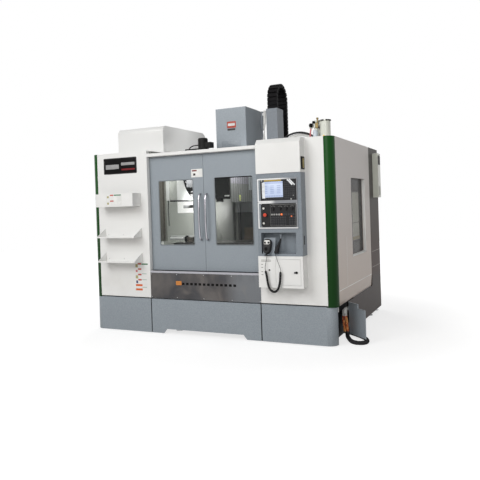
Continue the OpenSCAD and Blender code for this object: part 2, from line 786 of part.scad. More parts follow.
module arm_shaft() color(steel) from_layout()
    translate([arm_x, arm_y, arm_z + arm_t + seat]) cylinder(r = shaft_r, h = cam_z[0] + 120 - arm_z - arm_t);

grip_r = 32;
module change_arm() color(steel) from_layout() translate([arm_x, arm_y, arm_z]) {
    difference() {
        union() {
            cylinder(r = 75, h = arm_t);
            block([-48, 48], [-arm_l + 30, arm_l - 30], [0, arm_t - 4]);
            for (s = [0, 180]) rotate(s) translate([0, -arm_l, 0]) cylinder(r = 62, h = arm_t - 4);
        }
        for (s = [0, 180]) rotate(s) {
            translate([0, -arm_l, -1]) cylinder(r = grip_r, h = arm_t + 2);
            translate([-80, -arm_l - 70, -1]) cube([80, 70, arm_t + 2]);
        }
    }
}

// Column, head and spindle

way_x = 190;
way_w = 45;
way_y = [column_y - 26, column_y];
chain_x = [372, 372 + chain_w];
chain_front = 1200;
chain_y = chain_front + chain_r + chain_h / 2;
chain_anchor_z = 2120;
beam_z = [1400, 1500];

module column() color(iron) from_layout() {
    intersection() {
        along_y([column_y, column_y + column_d]) polygon([
            [-column_w / 2, bed_z + seat], [column_w / 2, bed_z + seat], [column_w / 2, bed_z + 260],
            [column_top_w / 2, 1500], [column_top_w / 2, column_top], [-column_top_w / 2, column_top],
            [-column_top_w / 2, 1500], [-column_w / 2, bed_z + 260]]);
        along_x([-column_w, column_w]) polygon([[column_y, bed_z], [column_y + column_d, bed_z],
            [column_y + column_d, 1500], [column_y + column_d - 110, column_top + 1], [column_y, column_top + 1]]);
    }
    // guideways, with the ribbed cover between them
    for (s = [-1, 1]) block([s * way_x - way_w / 2, s * way_x + way_w / 2], [way_y[0], way_y[1] + 1],
        [bed_z + 330, column_top - 20]);
    block([-way_x + 61, way_x - 61], [way_y[0] + 4, way_y[1] + 1], [bed_z + 330, column_top - 40]);
    for (i = [0 : 30]) block([-way_x + 58, way_x - 58], [way_y[0] - 2, way_y[1]],
        [bed_z + 340 + i * 42, bed_z + 364 + i * 42]);
    // brackets that hold the electrical cabinet
    for (z = [1000, 1800]) block([column_top_w / 2 - 30, cabinet_left - seat], [column_y + 300, column_y + 360], [z, z + 60]);
    // bracket for the fixed end of the cable chain
    block([column_top_w / 2 - 30, chain_x[1] + 6], [chain_y + 100, chain_y + chain_r + chain_h / 2 + 24],
        [chain_anchor_z - 40, chain_anchor_z]);
    // beam and upright that carry the tool magazine
    block([pot_back - 90, -column_top_w / 2 + 20], [column_y + 20, column_y + 130], beam_z);
    along_x([pot_back - 90, pot_back - 54]) polygon([[column_y + 20, beam_z[0]], [column_y + 130, beam_z[0]],
        [column_y + 130, carousel_z + 110], [carousel_y - 90, carousel_z + 110],
        [carousel_y - 90, carousel_z - 90], [column_y + 20, carousel_z - 330]]);
    translate([pot_back - 55, carousel_y, carousel_z]) rotate([0, 90, 0]) {
        cylinder(r = 60, h = 22);
        cylinder(r = pin_r - seat, h = 140);
    }
}

head_y = [spindle_y - head_front, way_y[0] - 34];
bore_r = nose_r + seat;
module spindle_head() color(black) from_layout() {
    difference() {
        along_x([-head_w / 2, head_w / 2]) polygon([
            [head_y[0], head_z], [spindle_y + 190, head_z], [spindle_y + 360, 1800], [head_y[1], 1800],
            [head_y[1], head_top], [spindle_y + 40, head_top], [head_y[0], 2080]]);
        translate([0, spindle_y, head_z - 1]) cylinder(r = bore_r, h = 320);
    }
    // slide with its four bearing blocks
    block([-head_w / 2, head_w / 2], [head_y[1] - 1, head_y[1] + 14], [1700, head_top]);
    for (s = [-1, 1], z = [1720, 2040]) difference() {
        block([s * way_x - 55, s * way_x + 55], [head_y[1] + 13, way_y[0] + 18], [z, z + 120]);
        block([s * way_x - way_w / 2 - seat, s * way_x + way_w / 2 + seat], [way_y[0] - 1, way_y[1]], [z - 1, z + 121]);
    }
}

module spindle() color(steel) from_layout() translate([0, spindle_y, nose_z]) difference() {
    union() {
        cylinder(r1 = nose_r - 4, r2 = nose_r, h = 10, $fn = 64);
        translate([0, 0, 10]) cylinder(r = nose_r, h = head_z - nose_z + 180, $fn = 64);
        for (a = [0, 180]) rotate(a) translate([24, -8, -6]) cube([16, 16, 12]);
    }
    // taper for the tool holders
    translate([0, 0, -0.01]) cylinder(r1 = 22.3, r2 = 12.7, h = 66, $fn = 64);
    translate([0, 0, 60]) cylinder(r = 9, h = 100);
}

cover_y = [850, 850 + cover_d];
cover_seam = 383;
module head_cover() color(grey) from_layout() {
    x = [-cover_w / 2, cover_w / 2];
    z = [head_top + seat, cover_top];
    difference() {
        block(x, [cover_y[0], cover_y[0] + cover_seam], z);
        // outline of the pressed panel low on the front
        difference() {
            block([x[0] + 78, x[1] - 78], [cover_y[0] - 1, cover_y[0] + 1], [2250, 2330]);
            block([x[0] + 84, x[1] - 84], [cover_y[0] - 2, cover_y[0] + 2], [2256, 2324]);
        }
    }
    block(x + [2, -2], [cover_y[0] + cover_seam + seat, cover_y[1]], z - [0, 2]);
}

box_y = [1150, 1368];
box_top = 2747;
box_z = [2130, box_top];
module cable_box() color(grey) from_layout() {
    x = [chain_x[0] - 1, chain_x[1] + 18];
    block(x, box_y, box_z);
    // bracket to the side of the head
    block([head_w / 2 + seat, x[0] + 1], [box_y[0] + 40, box_y[1] - 30], [head_top - 70, head_top]);
    // white conduit that rises from the bracket and turns into the box
    line([[290, 1200, 2240], [290, 1200, 2690], [296, 1201, 2712], [316, 1205, 2722], [x[0] + 2, 1210, 2722]], 9);
    translate([290, 1200, 2480]) cylinder(r = 22, h = 190);
    translate([290, 1200, head_top - 1]) cylinder(r1 = 26, r2 = 14, h = 70);
}

// One link of the cable chain: a short box, open along the cables, wider on its outer side
module chain_link() rotate([90, 0, 90]) difference() {
    out = link_l / 2 - 3;
    in = out * (chain_r - chain_h / 2) / chain_r;
    linear_extrude(chain_w) polygon([[-in, -chain_h / 2], [in, -chain_h / 2], [out, chain_h / 2], [-out, chain_h / 2]]);
    translate([-link_l, -chain_h / 2 + 7, 14]) cube([2 * link_l, chain_h - 14, chain_w - 28]);
}

arch_links = floor(PI * chain_r / link_l);
arch_step = 180 / arch_links;
arch_z = cover_top + 342 - chain_r - chain_h / 2;
front_end = box_top - arch_z + seat;
rear_end = chain_anchor_z - arch_z + seat;
// Stations of the links: place across and up, turn of the link
chain_at = concat([for (i = [0 : floor(-front_end / link_l) - 1]) [-chain_r, -(i + 0.5) * link_l, 90]],
    [for (i = [0 : arch_links - 1]) let (a = (i + 0.5) * arch_step) [-chain_r * cos(a), chain_r * sin(a), 90 - a]],
    [for (i = [0 : floor(-rear_end / link_l) - 1]) [chain_r, -(i + 0.5) * link_l, -90]]);
module drag_chain() color(black) from_layout() translate([chain_x[0], chain_y, arch_z]) {
    for (s = chain_at) translate([0, s[0], s[1]]) rotate([s[2], 0, 0]) chain_link();
    // pinned side bands that join the links
    for (x = [4, chain_w - 10]) translate([x, 0, 0]) rotate([90, 0, 90]) linear_extrude(6) polygon(concat(
        [for (i = [0 : arch_links]) let (a = i * arch_step, r = chain_r + 13) [-r * cos(a), r * sin(a)]],
        [[chain_r + 13, rear_end + 1], [chain_r - 13, rear_end + 1]],
        [for (i = [arch_links : -1 : 0]) let (a = i * arch_step, r = chain_r - 13) [-r * cos(a), r * sin(a)]],
        [[13 - chain_r, front_end + 1], [-13 - chain_r, front_end + 1]]));
    // end plates bolted to the cable box and to the column's bracket
    block([-3, chain_w + 3], [-chain_r - 22, -chain_r + 22], [front_end, front_end + 44]);
    block([-3, chain_w + 3], [chain_r - 22, chain_r + 22], [rear_end, rear_end + 54]);
}

// Saddle and table

saddle_w = 1700;
saddle_foot_w = 860;
saddle_top = table_z - table_t - rail_h - run;
way_pitch = 150;
block_x = 260;
module saddle() color(iron) from_layout() difference() {
    union() {
        block([-saddle_foot_w / 2, saddle_foot_w / 2], [table_y - table_d / 2 + 10, table_y + table_d / 2 - 10],
            [bed_z + rail_h + run, saddle_top - 60]);
        block([-saddle_w / 2, saddle_w / 2], [table_y - table_d / 2 + 10, table_y + table_d / 2 - 10],
            [saddle_top - 90, saddle_top]);
        for (s = [-1, 1]) block([-saddle_w / 2, saddle_w / 2],
            [table_y + s * way_pitch - rail_w / 2, table_y + s * way_pitch + rail_w / 2],
            [saddle_top - 1, saddle_top + rail_h]);
        for (s = [-1, 1], y = [-1, 1]) block([s * rail_x - 60, s * rail_x + 60],
            [table_y + y * 150 - 60, table_y + y * 150 + 60], [bed_z + run, bed_z + rail_h + run + 1]);
    }
    for (s = [-1, 1]) block([s * rail_x - rail_w / 2 - seat, s * rail_x + rail_w / 2 + seat],
        [0, 2000], [bed_z, bed_z + rail_h + 1]);
}

module table() color(steel) from_layout() {
    z0 = table_z - table_t;
    y = [table_y - table_d / 2, table_y + table_d / 2];
    difference() {
        block([-table_w / 2, table_w / 2], y, [z0, table_z]);
        for (i = [-2 : 2]) {
            block([-table_w, table_w], [table_y + i * slot_pitch - slot_w / 2, table_y + i * slot_pitch + slot_w / 2],
                [table_z - 30, table_z + 1]);
            block([-table_w, table_w],
                [table_y + i * slot_pitch - slot_foot_w / 2, table_y + i * slot_pitch + slot_foot_w / 2],
                [table_z - 32, table_z - 18]);
        }
        // underside relieved along its length
        block([-table_w, table_w], y + [30, -30], [z0 - 1, z0 + 30]);
    }
    for (s = [-1, 1], x = [-block_x, block_x]) difference() {
        block([x - 70, x + 70], [table_y + s * way_pitch - 45, table_y + s * way_pitch + 45], [saddle_top + 6, z0 + 31]);
        block([x - 71, x + 71], [table_y + s * way_pitch - rail_w / 2 - seat, table_y + s * way_pitch + rail_w / 2 + seat],
            [saddle_top, saddle_top + rail_h + 1]);
    }
}

// Sliding doors

door_y = [door_recess, door_recess + door_t];
function door_x(s) = s < 0 ? [opening_left - door_overlap, door_seam_x - 1.5]
    : [door_seam_x + 1.5, opening_right + door_overlap];
function pane_x(s) = s < 0 ? [door_seam_x - window_gap - window_w, door_seam_x - window_gap]
    : [door_seam_x + window_gap, door_seam_x + window_gap + window_w];
pane_lap = 16;

module window_outline(s, grow)
    translate([pane_x(s)[0] - grow, window_z - grow])
        round_rect(window_w + 2 * grow, window_h + 2 * grow, window_r + grow);

module door_panel(s) {
    x = door_x(s);
    z = [door_bottom, door_top];
    difference() {
        block(x, door_y, z);
        // open back of the folded sheet, kept solid around the window
        difference() {
            block(x + [sheet_t, -sheet_t], [door_y[0] + sheet_t, door_y[1] + 1], z + [sheet_t, -sheet_t]);
            along_y([door_y[0], door_y[1] + 2]) window_outline(s, pane_lap + 2 + sheet_t);
        }
        along_y([door_y[0] - 1, door_y[1] + 1]) window_outline(s, 0);
        along_y([door_y[0] + sheet_t, door_y[1] + 1]) window_outline(s, pane_lap + 1);
    }
}

module door_left() color(grey) from_layout() door_panel(-1);
module door_right() color(grey) from_layout() door_panel(1);

module door_pane(s) along_y([door_y[0] + sheet_t + seat, door_y[0] + sheet_t + seat + pane_t]) window_outline(s, pane_lap);

module door_glass_left() color([0.7, 0.8, 0.8, 0.4]) from_layout() door_pane(-1);
module door_glass_right() color([0.7, 0.8, 0.8, 0.4]) from_layout() door_pane(1);

module door_handle(s) {
    x = door_seam_x + s * handle_gap;
    y0 = door_recess;
    y1 = door_recess - handle_reach;
    low = handle_low + handle_r;
    high = handle_high - handle_r;
    // one end from the door outwards: run away from the door, run along the handle
    end = [[0.6, 0], [13, 1], [26, 7], [handle_reach - 20, 20], [handle_reach - 11, 44]];
    tube(curve(concat([for (e = end) [x, y0 - e[0], low + e[1]]],
        [[x, y1 + 4, low + handle_foot], [x, y1, (low + high) / 2], [x, y1 + 4, high - handle_head]],
        [for (i = [4 : -1 : 0]) [x, y0 - end[i][0], high - end[i][1]]]), 2), handle_r, 16, [1, 0, 0]);
}

module door_handle_left() color(steel) from_layout() door_handle(-1);
module door_handle_right() color(steel) from_layout() door_handle(1);

// Control station

station_right = station_x + station_w;
vent_y = [-126, -24];
vent_z = [1868, 1992];
module control_box_top() color(white) from_layout() {
    t = sheet_t;
    y0 = -station_d;
    difference() {
        along_x([station_x, station_right]) polygon([[-seat, shell_top + seat], [y0, shell_top + seat],
            [y0, enclosure_h - top_chamfer], [y0 + top_chamfer, enclosure_h], [-seat, enclosure_h]]);
        along_x([station_x + t, station_right - t]) polygon([[-seat - t, shell_top + seat + t], [y0 + t, shell_top + seat + t],
            [y0 + t, enclosure_h - top_chamfer - 1], [y0 + top_chamfer + 1, enclosure_h - t], [-seat - t, enclosure_h - t]]);
        block([station_right - t - 1, station_right + 1], vent_y, vent_z);
    }
    // filter insert in the side
    block([station_right - 26, station_right - t], vent_y - [4, -4], vent_z - [4, -4]);
    for (i = [0 : 6]) block([station_right - t - 1, station_right - 1], vent_y + [10, -10], [vent_z[0] + 10 + i * 16, vent_z[0] + 16 + i * 16]);
}

shell_y = -(station_d - shell_step);
pocket_x = [station_x + 37, station_x + 37 + pocket_w];
pocket_z = [984, 984 + pocket_h];
panel_x = [station_x + 46, station_x + 46 + panel_w];
panel_z = [1265, 1265 + panel_h];
cnc_x = [station_x + 48, station_x + 48 + cnc_w];
cnc_z = [panel_z[1] + panel_gap, panel_z[1] + panel_gap + cnc_h];
frame_x = [station_x + 12, station_x + 461];
frame_z = [panel_z[0] - frame_border - 4, cnc_z[1] + frame_border];
frame_y = shell_y - 5;
pendant_x = 871;
pendant_w = 98;
pendant_h = 160;
pendant_t = 42;
pendant_tilt = 13;
holder_y = shell_y - 2;
rest_z = 980;

module control_shell() color(grey) from_layout() {
    t = sheet_t;
    x = [station_x + 1, station_right - 1];
    z = [shell_z, shell_top];
    difference() {
        union() {
            difference() {
                block(x, [shell_y, -seat], z);
                block(x + [t, -t], [shell_y + t, -seat - t], z + [t, -t]);
            }
            // bright frame around both panels
            block(frame_x, [frame_y, shell_y + 1], frame_z);
            // walls of the pocket
            block(pocket_x + [-t, t], [shell_y, shell_y + pocket_d + t], pocket_z + [-t, t]);
        }
        block(cnc_x - [seat, -seat], [frame_y - 1, shell_y + t + 1], cnc_z - [seat, -seat]);
        block(panel_x - [seat, -seat], [frame_y - 1, shell_y + t + 1], panel_z - [seat, -seat]);
        block(pocket_x, [shell_y - 1, shell_y + pocket_d], pocket_z);
        // port in the right side
        block([x[1] - t - 1, x[1] + 1], [-92, -74], [1073, 1166]);
    }
    // leaning holder plate and the ledge that the pendant stands on
    translate([pendant_x, holder_y, rest_z]) rotate([-pendant_tilt, 0, 0]) {
        block([-52, 80], [0, t], [0, 176]);
    }
    block([pendant_x - 40, pendant_x - 12], [holder_y - pendant_t - 2, holder_y + 3], [rest_z - t - 3, rest_z - seat]);
    block([pendant_x + 12, pendant_x + 40], [holder_y - pendant_t - 2, holder_y + 3], [rest_z - t - 3, rest_z - seat]);
    // socket of the pendant's cord, under the roof of the pocket
    translate([socket[0], socket[1], socket[2]]) {
        cylinder(r = 9, h = 30);
        translate([0, 0, 18]) cylinder(r = 12, h = pocket_z[1] - socket[2] - 17, $fn = 6);
    }
}

module cnc_unit() color(black) from_layout() {
    y = frame_y - 3;
    screen_x = [cnc_x[0] + 34, cnc_x[0] + 255];
    screen_z = [cnc_z[0] + 34, cnc_z[0] + 201];
    difference() {
        union() {
            block(cnc_x, [y, y + 10], cnc_z);
            block(cnc_x + [8, -8], [y + 9, shell_y + 82], cnc_z + [8, -8]);
        }
        block(screen_x, [y - 1, y + 3], screen_z);
    }
    // soft keys under the screen and the block of data keys beside it
    for (i = [0 : 9]) block([screen_x[0] + 4 + i * 22, screen_x[0] + 18 + i * 22], [y - 2, y + 1], [cnc_z[0] + 11, cnc_z[0] + 22]);
    for (i = [0 : 5], j = [0 : 7]) block([cnc_x[0] + 272 + i * 20, cnc_x[0] + 287 + i * 20], [y - 2, y + 1],
        [cnc_z[0] + 18 + j * 23, cnc_z[0] + 34 + j * 23]);
}

stop_at = [863, 1395];
start_at = [844, 1465];
hold_at = [842, 1307];
knob_x = [951, 1031, 1098, 1164];
knob_z = 1459;
panel_y = frame_y - 1;
module operator_panel() color(black) from_layout() {
    difference() {
        union() {
            block(panel_x, [panel_y, panel_y + 6], panel_z);
            block(panel_x + [8, -8], [panel_y + 5, shell_y + 50], panel_z + [8, -8]);
        }
        for (p = [stop_at, start_at, hold_at]) facing(p[0], shell_y + 51, p[1]) cylinder(r = 5.5 + seat, h = 80);
        for (x = knob_x) facing(x, shell_y + 51, knob_z) cylinder(r = 4 + seat, h = 80);
    }
    // key rows
    for (i = [0 : 9]) block([panel_x[0] + 116 + i * 27, panel_x[0] + 136 + i * 27], [panel_y - 2, panel_y + 1],
        [panel_z[0] + 124, panel_z[0] + 142]);
    for (i = [0 : 6], j = [0 : 3]) block([panel_x[0] + 116 + i * 25, panel_x[0] + 134 + i * 25], [panel_y - 2, panel_y + 1],
        [panel_z[0] + 20 + j * 24, panel_z[0] + 37 + j * 24]);
    for (i = [0 : 2], j = [0 : 3]) block([panel_x[0] + 318 + i * 24, panel_x[0] + 336 + i * 24], [panel_y - 2, panel_y + 1],
        [panel_z[0] + 20 + j * 24, panel_z[0] + 37 + j * 24]);
    facing(stop_at[0], panel_y + 0.5, stop_at[1]) difference() {
        cylinder(r = stop_r + 8, h = 2);
        translate([0, 0, -1]) cylinder(r = 5.5 + seat, h = 4);
    }
}

// Turned around the axis that points out of the panel
module stop_mushroom() color([0.8, 0.12, 0.08]) from_layout()
    facing(stop_at[0], panel_y - 2, stop_at[1]) {
        translate([0, 0, -20]) cylinder(r = 5.5, h = 22 + stop_travel);
        translate([0, 0, stop_travel + 1]) cylinder(r1 = 13, r2 = 13, h = 8);
        translate([0, 0, stop_travel + 8]) cylinder(r1 = stop_r - 3, r2 = stop_r, h = 5);
        translate([0, 0, stop_travel + 13]) cylinder(r1 = stop_r, r2 = stop_r - 6, h = 5);
    }

module push_button() {
    translate([0, 0, -20]) cylinder(r = 5.5, h = 22);
    translate([0, 0, button_travel + seat]) cylinder(r = button_r, h = 5);
    cylinder(r = 5.5, h = button_travel + 2);
}

module start_button() color([0.9, 0.9, 0.88]) from_layout() facing(start_at[0], panel_y, start_at[1]) push_button();
module hold_button() color([0.9, 0.9, 0.88]) from_layout() facing(hold_at[0], panel_y, hold_at[1]) push_button();

module knob(x) facing(x, panel_y - seat, knob_z) difference() {
    union() {
        cylinder(r = knob_r, h = 6);
        cylinder(r1 = knob_r - 2, r2 = knob_r - 5, h = 18);
        translate([-3.5, -knob_r, 4]) cube([7, 2 * knob_r, 15]);
        translate([0, 0, -20]) cylinder(r = 4, h = 21);
    }
    translate([-0.8, knob_r - 9, 18]) cube([1.6, 12, 2]);
}

module mode_knob() color(black) from_layout() knob(knob_x[0]);
module feed_knob() color(black) from_layout() knob(knob_x[1]);
module rapid_knob() color(black) from_layout() knob(knob_x[2]);
module speed_knob() color(black) from_layout() knob(knob_x[3]);

hatch_x = [960, 1237];
hatch_z = [655, 926];
hatch_t = 16;
hatch_hinge_z = [700, 870];
latch_at = [1192, 789];
module lower_box() color(white) from_layout() {
    t = sheet_t;
    x = [station_x - 2, station_right - 1];
    z = [lower_box_z, shell_z - seat];
    difference() {
        block(x, [-station_d, -seat], z);
        block(x + [t, -t], [-station_d + t, -seat - t], z + [t, -t]);
        block(hatch_x - [2, -2], [-station_d - 1, -station_d + t + 1], hatch_z - [2, -2]);
        for (h = hatch_hinge_z) block([hatch_x[0] - 6, hatch_x[0]], [-station_d - 1, -station_d + t + 1], [h - seat, h + 21]);
        // grooves of the fixed panel on the left
        for (gx = [x[0] + 27, 942]) block([gx, gx + 4], [-station_d - 1, -station_d + 1], hatch_z);
        facing(887, -station_d + 1, 814) cylinder(r = 4, h = 3);
    }
    for (h = hatch_hinge_z) translate([hatch_x[0], -station_d, h - 20]) cylinder(r = 4, h = 20 - seat);
    facing(887, -station_d + 2, 814) difference() {
        cylinder(r = 9, h = 4);
        translate([-1, -4, 2]) cube([2, 8, 3]);
    }
}

module lower_door() color(white) from_layout() difference() {
    union() {
        block(hatch_x, [-station_d, -station_d + hatch_t], hatch_z);
        for (h = hatch_hinge_z) translate([hatch_x[0], -station_d, h]) cylinder(r = 4, h = 20);
    }
    for (h = hatch_hinge_z) block([hatch_x[0] - 1, hatch_x[0] + 5], [-station_d - 5, -station_d + 5], [h - 21, h]);
    block(hatch_x + [t2, -t2], [-station_d + t2, -station_d + hatch_t + 1], hatch_z + [t2, -t2]);
    facing(latch_at[0], -station_d + 30, latch_at[1]) cylinder(r = 6.8, h = 60);
}
t2 = 2;

module door_latch() color(black) from_layout() facing(latch_at[0], -station_d - seat, latch_at[1]) {
    cylinder(r = 13, h = 4);
    translate([-24, -7, 3]) cube([38, 14, 9]);
    translate([0, 0, -26]) cylinder(r = 6.5, h = 27);
    translate([0, -6, -30]) cube([34, 12, 4]);
}

// Handwheel pendant, standing in its holder

module on_holder() translate([pendant_x, holder_y, rest_z]) rotate([-pendant_tilt, 0, 0])
    translate([0, -pendant_t, 0]) children();

wheel_at = [0, 47];
selector_at = [[-20, 116], [20, 116]];
module pendant_body() color(black) from_layout() on_holder() {
    difference() {
        along_y([0, pendant_t - seat]) {
            translate([-pendant_w / 2, 30]) round_rect(pendant_w, pendant_h - 30, 18);
            translate([-pendant_w / 2 + 9, 0]) round_rect(pendant_w - 18, 60, 16);
        }
        facing(wheel_at[0], 14, wheel_at[1]) cylinder(r = 6, h = 20);
        for (p = selector_at) facing(p[0], 14, p[1]) cylinder(r = 4, h = 20);
    }
    translate([0, pendant_t / 2, -23]) cylinder(r1 = 5, r2 = 8, h = 24);
}

module pendant_wheel() color([0.2, 0.2, 0.21]) from_layout() on_holder() facing(wheel_at[0], -seat, wheel_at[1]) {
    difference() {
        cylinder(r = 37, h = 9);
        for (i = [0 : 35]) rotate(i * 10) translate([37, 0, -1]) cylinder(r = 1.6, h = 11, $fn = 8);
    }
    translate([0, 0, -10]) cylinder(r = 5.5, h = 12);
    translate([22, 0, 8]) cylinder(r = 5, h = 14);
}

module selector() {
    cylinder(r = 11, h = 4);
    cylinder(r1 = 9, r2 = 8, h = 11);
    translate([-2, -10, 3]) cube([4, 20, 9]);
    translate([0, 0, -10]) cylinder(r = 3.5, h = 12);
}

module pendant_axis_knob() color([0.2, 0.2, 0.21]) from_layout() on_holder()
    facing(selector_at[0][0], -seat, selector_at[0][1]) selector();
module pendant_step_knob() color([0.2, 0.2, 0.21]) from_layout() on_holder()
    facing(selector_at[1][0], -seat, selector_at[1][1]) selector();

// A bent line of round section in a plane that faces the front
module line(pts, r) tube(curve(pts, 2), r, 10, [0, 1, 0]);

// Cord of the pendant. Points are in the layout frame.
cord_r = 2.5;
coil_r = 12.5;
socket = [1004, -84, 1148];
upper_pts = [[1004, -84, 1148], [1002, -92, 1120], [992, -112, 1080], [978, -135, 1040], [968, -154, 1008],
    [970, -164, 975], [984, -170, 930], [1004, -174, 880], [1020, -176, 840], [1026, -176, 815],
    [1024, -176, 800]];
coil_pts = [[1024, -176, 800], [1021, -177, 760], [1017, -177, 715], [1010, -178, 670], [998, -178, 630],
    [978, -178, 600], [948, -178, 586], [916, -178, 596], [893, -178, 624], [880, -178, 665],
    [872, -177, 710], [864, -177, 760], [854, -176, 808]];
lower_pts = [[854, -176, 808], [851, -176, 822], [852, -175, 850], [858, -173, 885], [865, -172, 915],
    [869, -171, 940], [870.5, -169, 957]];

function unit(v) = v / norm(v);
function tangent(p, i) = unit(i == 0 ? p[1] - p[0] : i == len(p) - 1 ? p[i] - p[i - 1] : p[i + 1] - p[i - 1]);
// A smooth curve through a list of points, steps between each pair
function curve(p, steps) = [for (i = [0 : len(p) - 2], j = [0 : steps - 1])
    let (t = j / steps, a = p[max(i - 1, 0)], b = p[i], c = p[i + 1], d = p[min(i + 2, len(p) - 1)])
        0.5 * (2 * b + (c - a) * t + (2 * a - 5 * b + 4 * c - d) * t * t + (3 * b - a - 3 * c + d) * t * t * t),
    p[len(p) - 1]];
// A closed tube with flat ends, swept along points, its rings across the path
module tube(p, r, sides, up) {
    rings = [for (i = [0 : len(p) - 1])
        let (t = tangent(p, i), u = unit(cross(t, up)), v = cross(t, u))
            for (k = [0 : sides - 1]) p[i] + r * (u * cos(k * 360 / sides) + v * sin(k * 360 / sides))];
    faces = concat(
        [[for (k = [0 : sides - 1]) k]],
        [for (i = [0 : len(p) - 2], k = [0 : sides - 1])
            [i * sides + k, (i + 1) * sides + k, (i + 1) * sides + (k + 1) % sides, i * sides + (k + 1) % sides]],
        [[for (k = [sides - 1 : -1 : 0]) (len(p) - 1) * sides + k]]);
    polyhedron(rings, faces, convexity = 8);
}

module cord_upper() color(black) from_layout() tube(curve(upper_pts, 2), cord_r, 8, [0, 1, 0]);
module cord_coil() color(black) from_layout() tube(curve(coil_pts, 2), coil_r, 12, [0, 1, 0]);
module cord_lower() color(black) from_layout() tube(curve(lower_pts, 1), cord_r, 8, [0, 1, 0]);

// Air supply on the right roof, with the conduits that arch over it
reservoir_at = [1442, 200];
module air_unit() color([0.85, 0.85, 0.84]) from_layout() translate([side_shift, 0, 0]) {
    z = roof_z + seat;
    translate([reservoir_at[0], reservoir_at[1], z]) {
        cylinder(r = 40, h = 14);
        translate([0, 0, 14]) cylinder(r = 57, h = 160);
        translate([0, 0, 174]) cylinder(r = 53, h = 12);
        for (a = [0 : 60 : 300]) rotate(a) translate([46, 0, 184]) cylinder(r = 5, h = 8);
    }
    // mounting plate with the regulator, its bowl and its knobs
    block([1318, 1378], [205, 209], [z, z + 200]);
    block([1324, 1366], [165, 205], [z + 120, z + 160]);
    translate([1345, 185, z + 60]) cylinder(r = 17, h = 62);
    translate([1345, 185, z + 159]) cylinder(r = 14, h = 34);
    translate([1300, 185, z + 128]) rotate([0, 90, 0]) cylinder(r = 8, h = 26);
    translate([1276, 185, z + 128]) rotate([0, 90, 0]) cylinder(r = 18, h = 26);
    translate([1313, 185, z + 146]) rotate([0, 90, 0]) cylinder(r = 14, h = 16);
    line([[1288, 185, z + 116], [1280, 186, z + 70], [1276, 188, z + 30], [1276, 188, z]], 7);
    line([[1372, 190, z + 130], [1392, 190, z + 90], [1384, 192, z + 40], [1384, 192, z]], 6);
    block([1366, 1388], [200, 209], [z + 110, z + 150]);
    // black conduit and the grey ribbed one below it
    for (c = [[306, 10, 0], [282, 14, 30]]) translate([1065, 400 + c[2], z - 196]) rotate([90, 0, 0])
        intersection() {
            rotate_extrude($fn = 96) translate([c[0], 0]) circle(c[1], $fn = 24);
            translate([-400, 196, -40]) cube([800, 200, 80]);
        }
}

// Access door low in the right side, standing open
module access_door() color(grey) from_layout() translate([side_x, access_y, 0]) rotate([0, 0, access_open]) {
    t = sheet_t;
    low_top = access_top - access_step;
    run_l = access_l * 0.6;
    along_x([-t, 0]) polygon([[-8, access_z], [-access_l, access_z], [-access_l, low_top],
        [-run_l, low_top], [-run_l, access_top], [-8, access_top]]);
    // flanges folded inwards along the free edge and the stepped top
    block([-14, -t + 0.5], [-access_l, -access_l + t], [access_z, low_top]);
    block([-14, -t + 0.5], [-access_l, -run_l], [low_top - t, low_top]);
    block([-14, -t + 0.5], [-run_l - t, -run_l], [low_top - t, access_top]);
    block([-14, -t + 0.5], [-run_l - t, -14], [access_top - t, access_top]);
    // hinge barrels on the pivot line
    for (z = access_hinge_z) {
        translate([0, 0, z]) cylinder(r = hinge_r, h = 40);
        block([-t, 0], [-9, 0], [z, z + 40]);
    }
}

// Fitting under the side beam, with the hoses and cables that leave it
hose_at = [1520, 462, side_panel_z - beam - seat];
module hose(a, r) tube(curve([
    hose_at + [19 * cos(a), 19 * sin(a), -70],
    hose_at + [20 * cos(a), 20 * sin(a), -110],
    [1530 + 24 * cos(a), 434 + 24 * sin(a), 190],
    [1546 + 22 * cos(a), 398 + 22 * sin(a), 130],
    [1560 + 21 * cos(a), 366 + 21 * sin(a), 74]], 3), r, 10, [0.2, 1, 0]);
module hose_bundle() color([0.9, 0.55, 0.3]) from_layout() translate([side_shift, 0, 0]) {
    translate(hose_at - [0, 0, 36]) cylinder(r1 = 38, r2 = 30, h = 36);
    translate(hose_at - [0, 0, 76]) cylinder(r = 31, h = 41);
    for (i = [0 : 5]) hose(i * 60 + 12, i % 2 == 0 ? 8 : 6.5);
}

// Corrugated conduit: down to the floor, out under the access door and back under the machine
conduit_r = 23;
conduit_pts = [[1530, 530, 350.4], [1530, 530, 290], [1530, 526, 200], [1531, 516, 120], [1536, 494, 62],
    [1546, 456, 34], [1564, 405, 24.5], [1592, 340, 24],
    [1622, 275, 24], [1662, 212, 24], [1716, 178, 24], [1768, 184, 24], [1800, 222, 24], [1806, 272, 24],
    [1790, 330, 24], [1756, 392, 24], [1706, 455, 24], [1640, 520, 24], [1570, 580, 24], [1500, 630, 24]];
module floor_conduit() color(black) from_layout() translate([side_shift, 0, 0]) tube(curve(conduit_pts, 2), conduit_r, 12, [0.5, 0.2, 1]);

